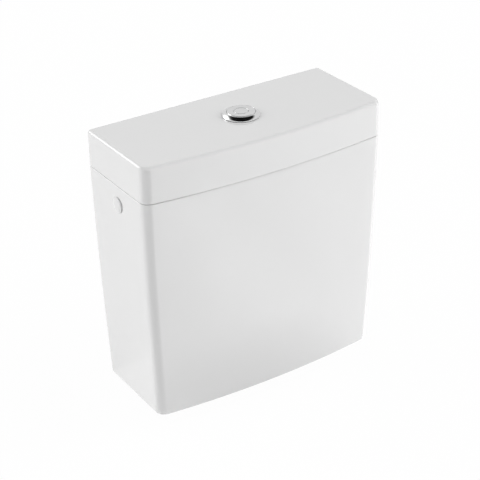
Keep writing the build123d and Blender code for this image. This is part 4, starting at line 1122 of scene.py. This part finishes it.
def background(tree, strength):
    node = tree.nodes.new("ShaderNodeBackground")
    node.inputs["Color"].default_value = (1, 1, 1, 1)
    feed(tree, node.inputs["Strength"], strength)
    return node.outputs["Background"]


def mixed(tree, share, first, second):
    node = tree.nodes.new("ShaderNodeMixShader")
    feed(tree, node.inputs["Fac"], share)
    tree.links.new(first, node.inputs[1])
    tree.links.new(second, node.inputs[2])
    return node.outputs["Shader"]


def studio_world():
    """Glows as light, a horizon with one lamp in gloss, and white to the camera and to glass."""
    world = bpy.data.worlds.new("studio")
    world.use_nodes = True
    tree = world.node_tree
    way = tree.nodes.new("ShaderNodeTexCoord").outputs["Generated"]

    def with_glow(level, azimuth, elevation, strength, narrowness):
        towards = tree.nodes.new("ShaderNodeVectorMath")
        towards.operation = "DOT_PRODUCT"
        towards.inputs[1].default_value = direction(azimuth, elevation)
        tree.links.new(way, towards.inputs[0])
        facing = calculated(tree, "MAXIMUM", towards.outputs["Value"], 0.0)
        glow = calculated(tree, "POWER", facing, narrowness)
        return calculated(tree, "ADD", calculated(tree, "MULTIPLY", glow, strength), level)

    light = AMBIENT
    for glow in GLOWS:
        light = with_glow(light, *glow)
    height = tree.nodes.new("ShaderNodeSeparateXYZ")
    tree.links.new(way, height.inputs["Vector"])
    horizon = spread(tree, height.outputs["Z"], HORIZON_WHITE, GLOSS_DARK,
                     *(math.sin(math.radians(angle)) for angle in HORIZON_FADE))
    gloss = with_glow(horizon, *GLOSS_LAMP)
    lit = mixed(tree, ray_of(tree, "Is Glossy Ray"), background(tree, light),
                background(tree, gloss))
    seen = mixed(tree, ray_of(tree, "Is Camera Ray", "Is Transmission Ray"), lit,
                 background(tree, 1.0))
    tree.links.new(seen, tree.nodes["World Output"].inputs["Surface"])
    bpy.context.scene.world = world


def soft_step(tree, value, start, end):
    """0 at the start and 1 at the end, with a soft rise between."""
    rise = tree.nodes.new("ShaderNodeMapRange")
    rise.interpolation_type = "SMOOTHSTEP"
    first, last = min(start, end), max(start, end)
    rise.inputs["From Min"].default_value = first
    rise.inputs["From Max"].default_value = last
    rise.inputs["To Min"].default_value = float(start > end)
    rise.inputs["To Max"].default_value = float(start < end)
    tree.links.new(value, rise.inputs["Value"])
    return rise.outputs["Result"]


def painted_pool(tree, place, x, y, reach_x, reach_y, strength):
    """A pool of painted light on the floor, or painted shade where its strength is below zero,
    strongest in its middle.
    """
    mapping = tree.nodes.new("ShaderNodeMapping")
    mapping.vector_type = "TEXTURE"
    mapping.inputs["Location"].default_value = (x, y, 0)
    mapping.inputs["Scale"].default_value = (reach_x, reach_y, 1)
    tree.links.new(place, mapping.inputs["Vector"])
    length = tree.nodes.new("ShaderNodeVectorMath")
    length.operation = "LENGTH"
    tree.links.new(mapping.outputs["Vector"], length.inputs[0])
    square = calculated(tree, "POWER", length.outputs["Value"], 2.0)
    fall = calculated(tree, "EXPONENT", calculated(tree, "MULTIPLY", square, -1.0), 0.0)
    return calculated(tree, "MULTIPLY", fall, strength)


def painted_floor_reflection(tree):
    """The painted reflections and painted shadow that the floor shows in gloss, as a level of glow.
    """
    place = tree.nodes.new("ShaderNodeTexCoord").outputs["Object"]
    apart = tree.nodes.new("ShaderNodeSeparateXYZ")
    tree.links.new(place, apart.inputs["Vector"])
    x, y = apart.outputs["X"], apart.outputs["Y"]
    level = FLOOR_GLOSS
    for strength, across, along in PAINTED_REFLECTION_CARDS:
        card = strength
        for value, (start, full, still, end) in ((x, across), (y, along)):
            card = calculated(tree, "MULTIPLY", soft_step(tree, value, start, full), card)
            card = calculated(tree, "MULTIPLY", soft_step(tree, value, end, still), card)
        level = calculated(tree, "ADD", card, level)
    for numbers in PAINTED_LIGHT_AND_SHADE_POOLS:
        level = calculated(tree, "ADD", level, painted_pool(tree, place, *numbers))
    return calculated(tree, "MINIMUM", calculated(tree, "MAXIMUM", level, 0.0), MOST_GLOSS)


def glowing(tree, strength):
    node = tree.nodes.new("ShaderNodeEmission")
    node.inputs["Color"].default_value = (1, 1, 1, 1)
    feed(tree, node.inputs["Strength"], strength)
    return node.outputs["Emission"]


def pale_floor(height):
    """A large pale floor that keeps the object's shadow, white to the camera and to glass."""
    material, tree, shader = tree_of("pale_floor")
    shader.inputs["Base Color"].default_value = (0.9, 0.9, 0.9, 1)
    shader.inputs["Roughness"].default_value = 0.8
    # Gloss sees painted reflections and a painted shadow on the floor, not its lit shading.
    lit = mixed(tree, ray_of(tree, "Is Glossy Ray"), shader.outputs["BSDF"],
                glowing(tree, painted_floor_reflection(tree)))
    share = calculated(tree, "MULTIPLY", ray_of(tree, "Is Camera Ray", "Is Transmission Ray"),
                       FLOOR_WHITE)
    tree.links.new(mixed(tree, share, lit, glowing(tree, 1.0)),
                   tree.nodes["Material Output"].inputs["Surface"])
    made = bmesh.new()
    bmesh.ops.create_circle(made, cap_ends=True, segments=96, radius=FLOOR_RADIUS)
    data = bpy.data.meshes.new("floor")
    made.to_mesh(data)
    made.free()
    data.materials.append(material)
    floor = bpy.data.objects.new("floor", data)
    floor.location = (0, 0, height)
    bpy.context.scene.collection.objects.link(floor)


place_camera()
studio_world()
pale_floor(cad_box[0].z)
bpy.context.scene.view_settings.view_transform = "Standard"
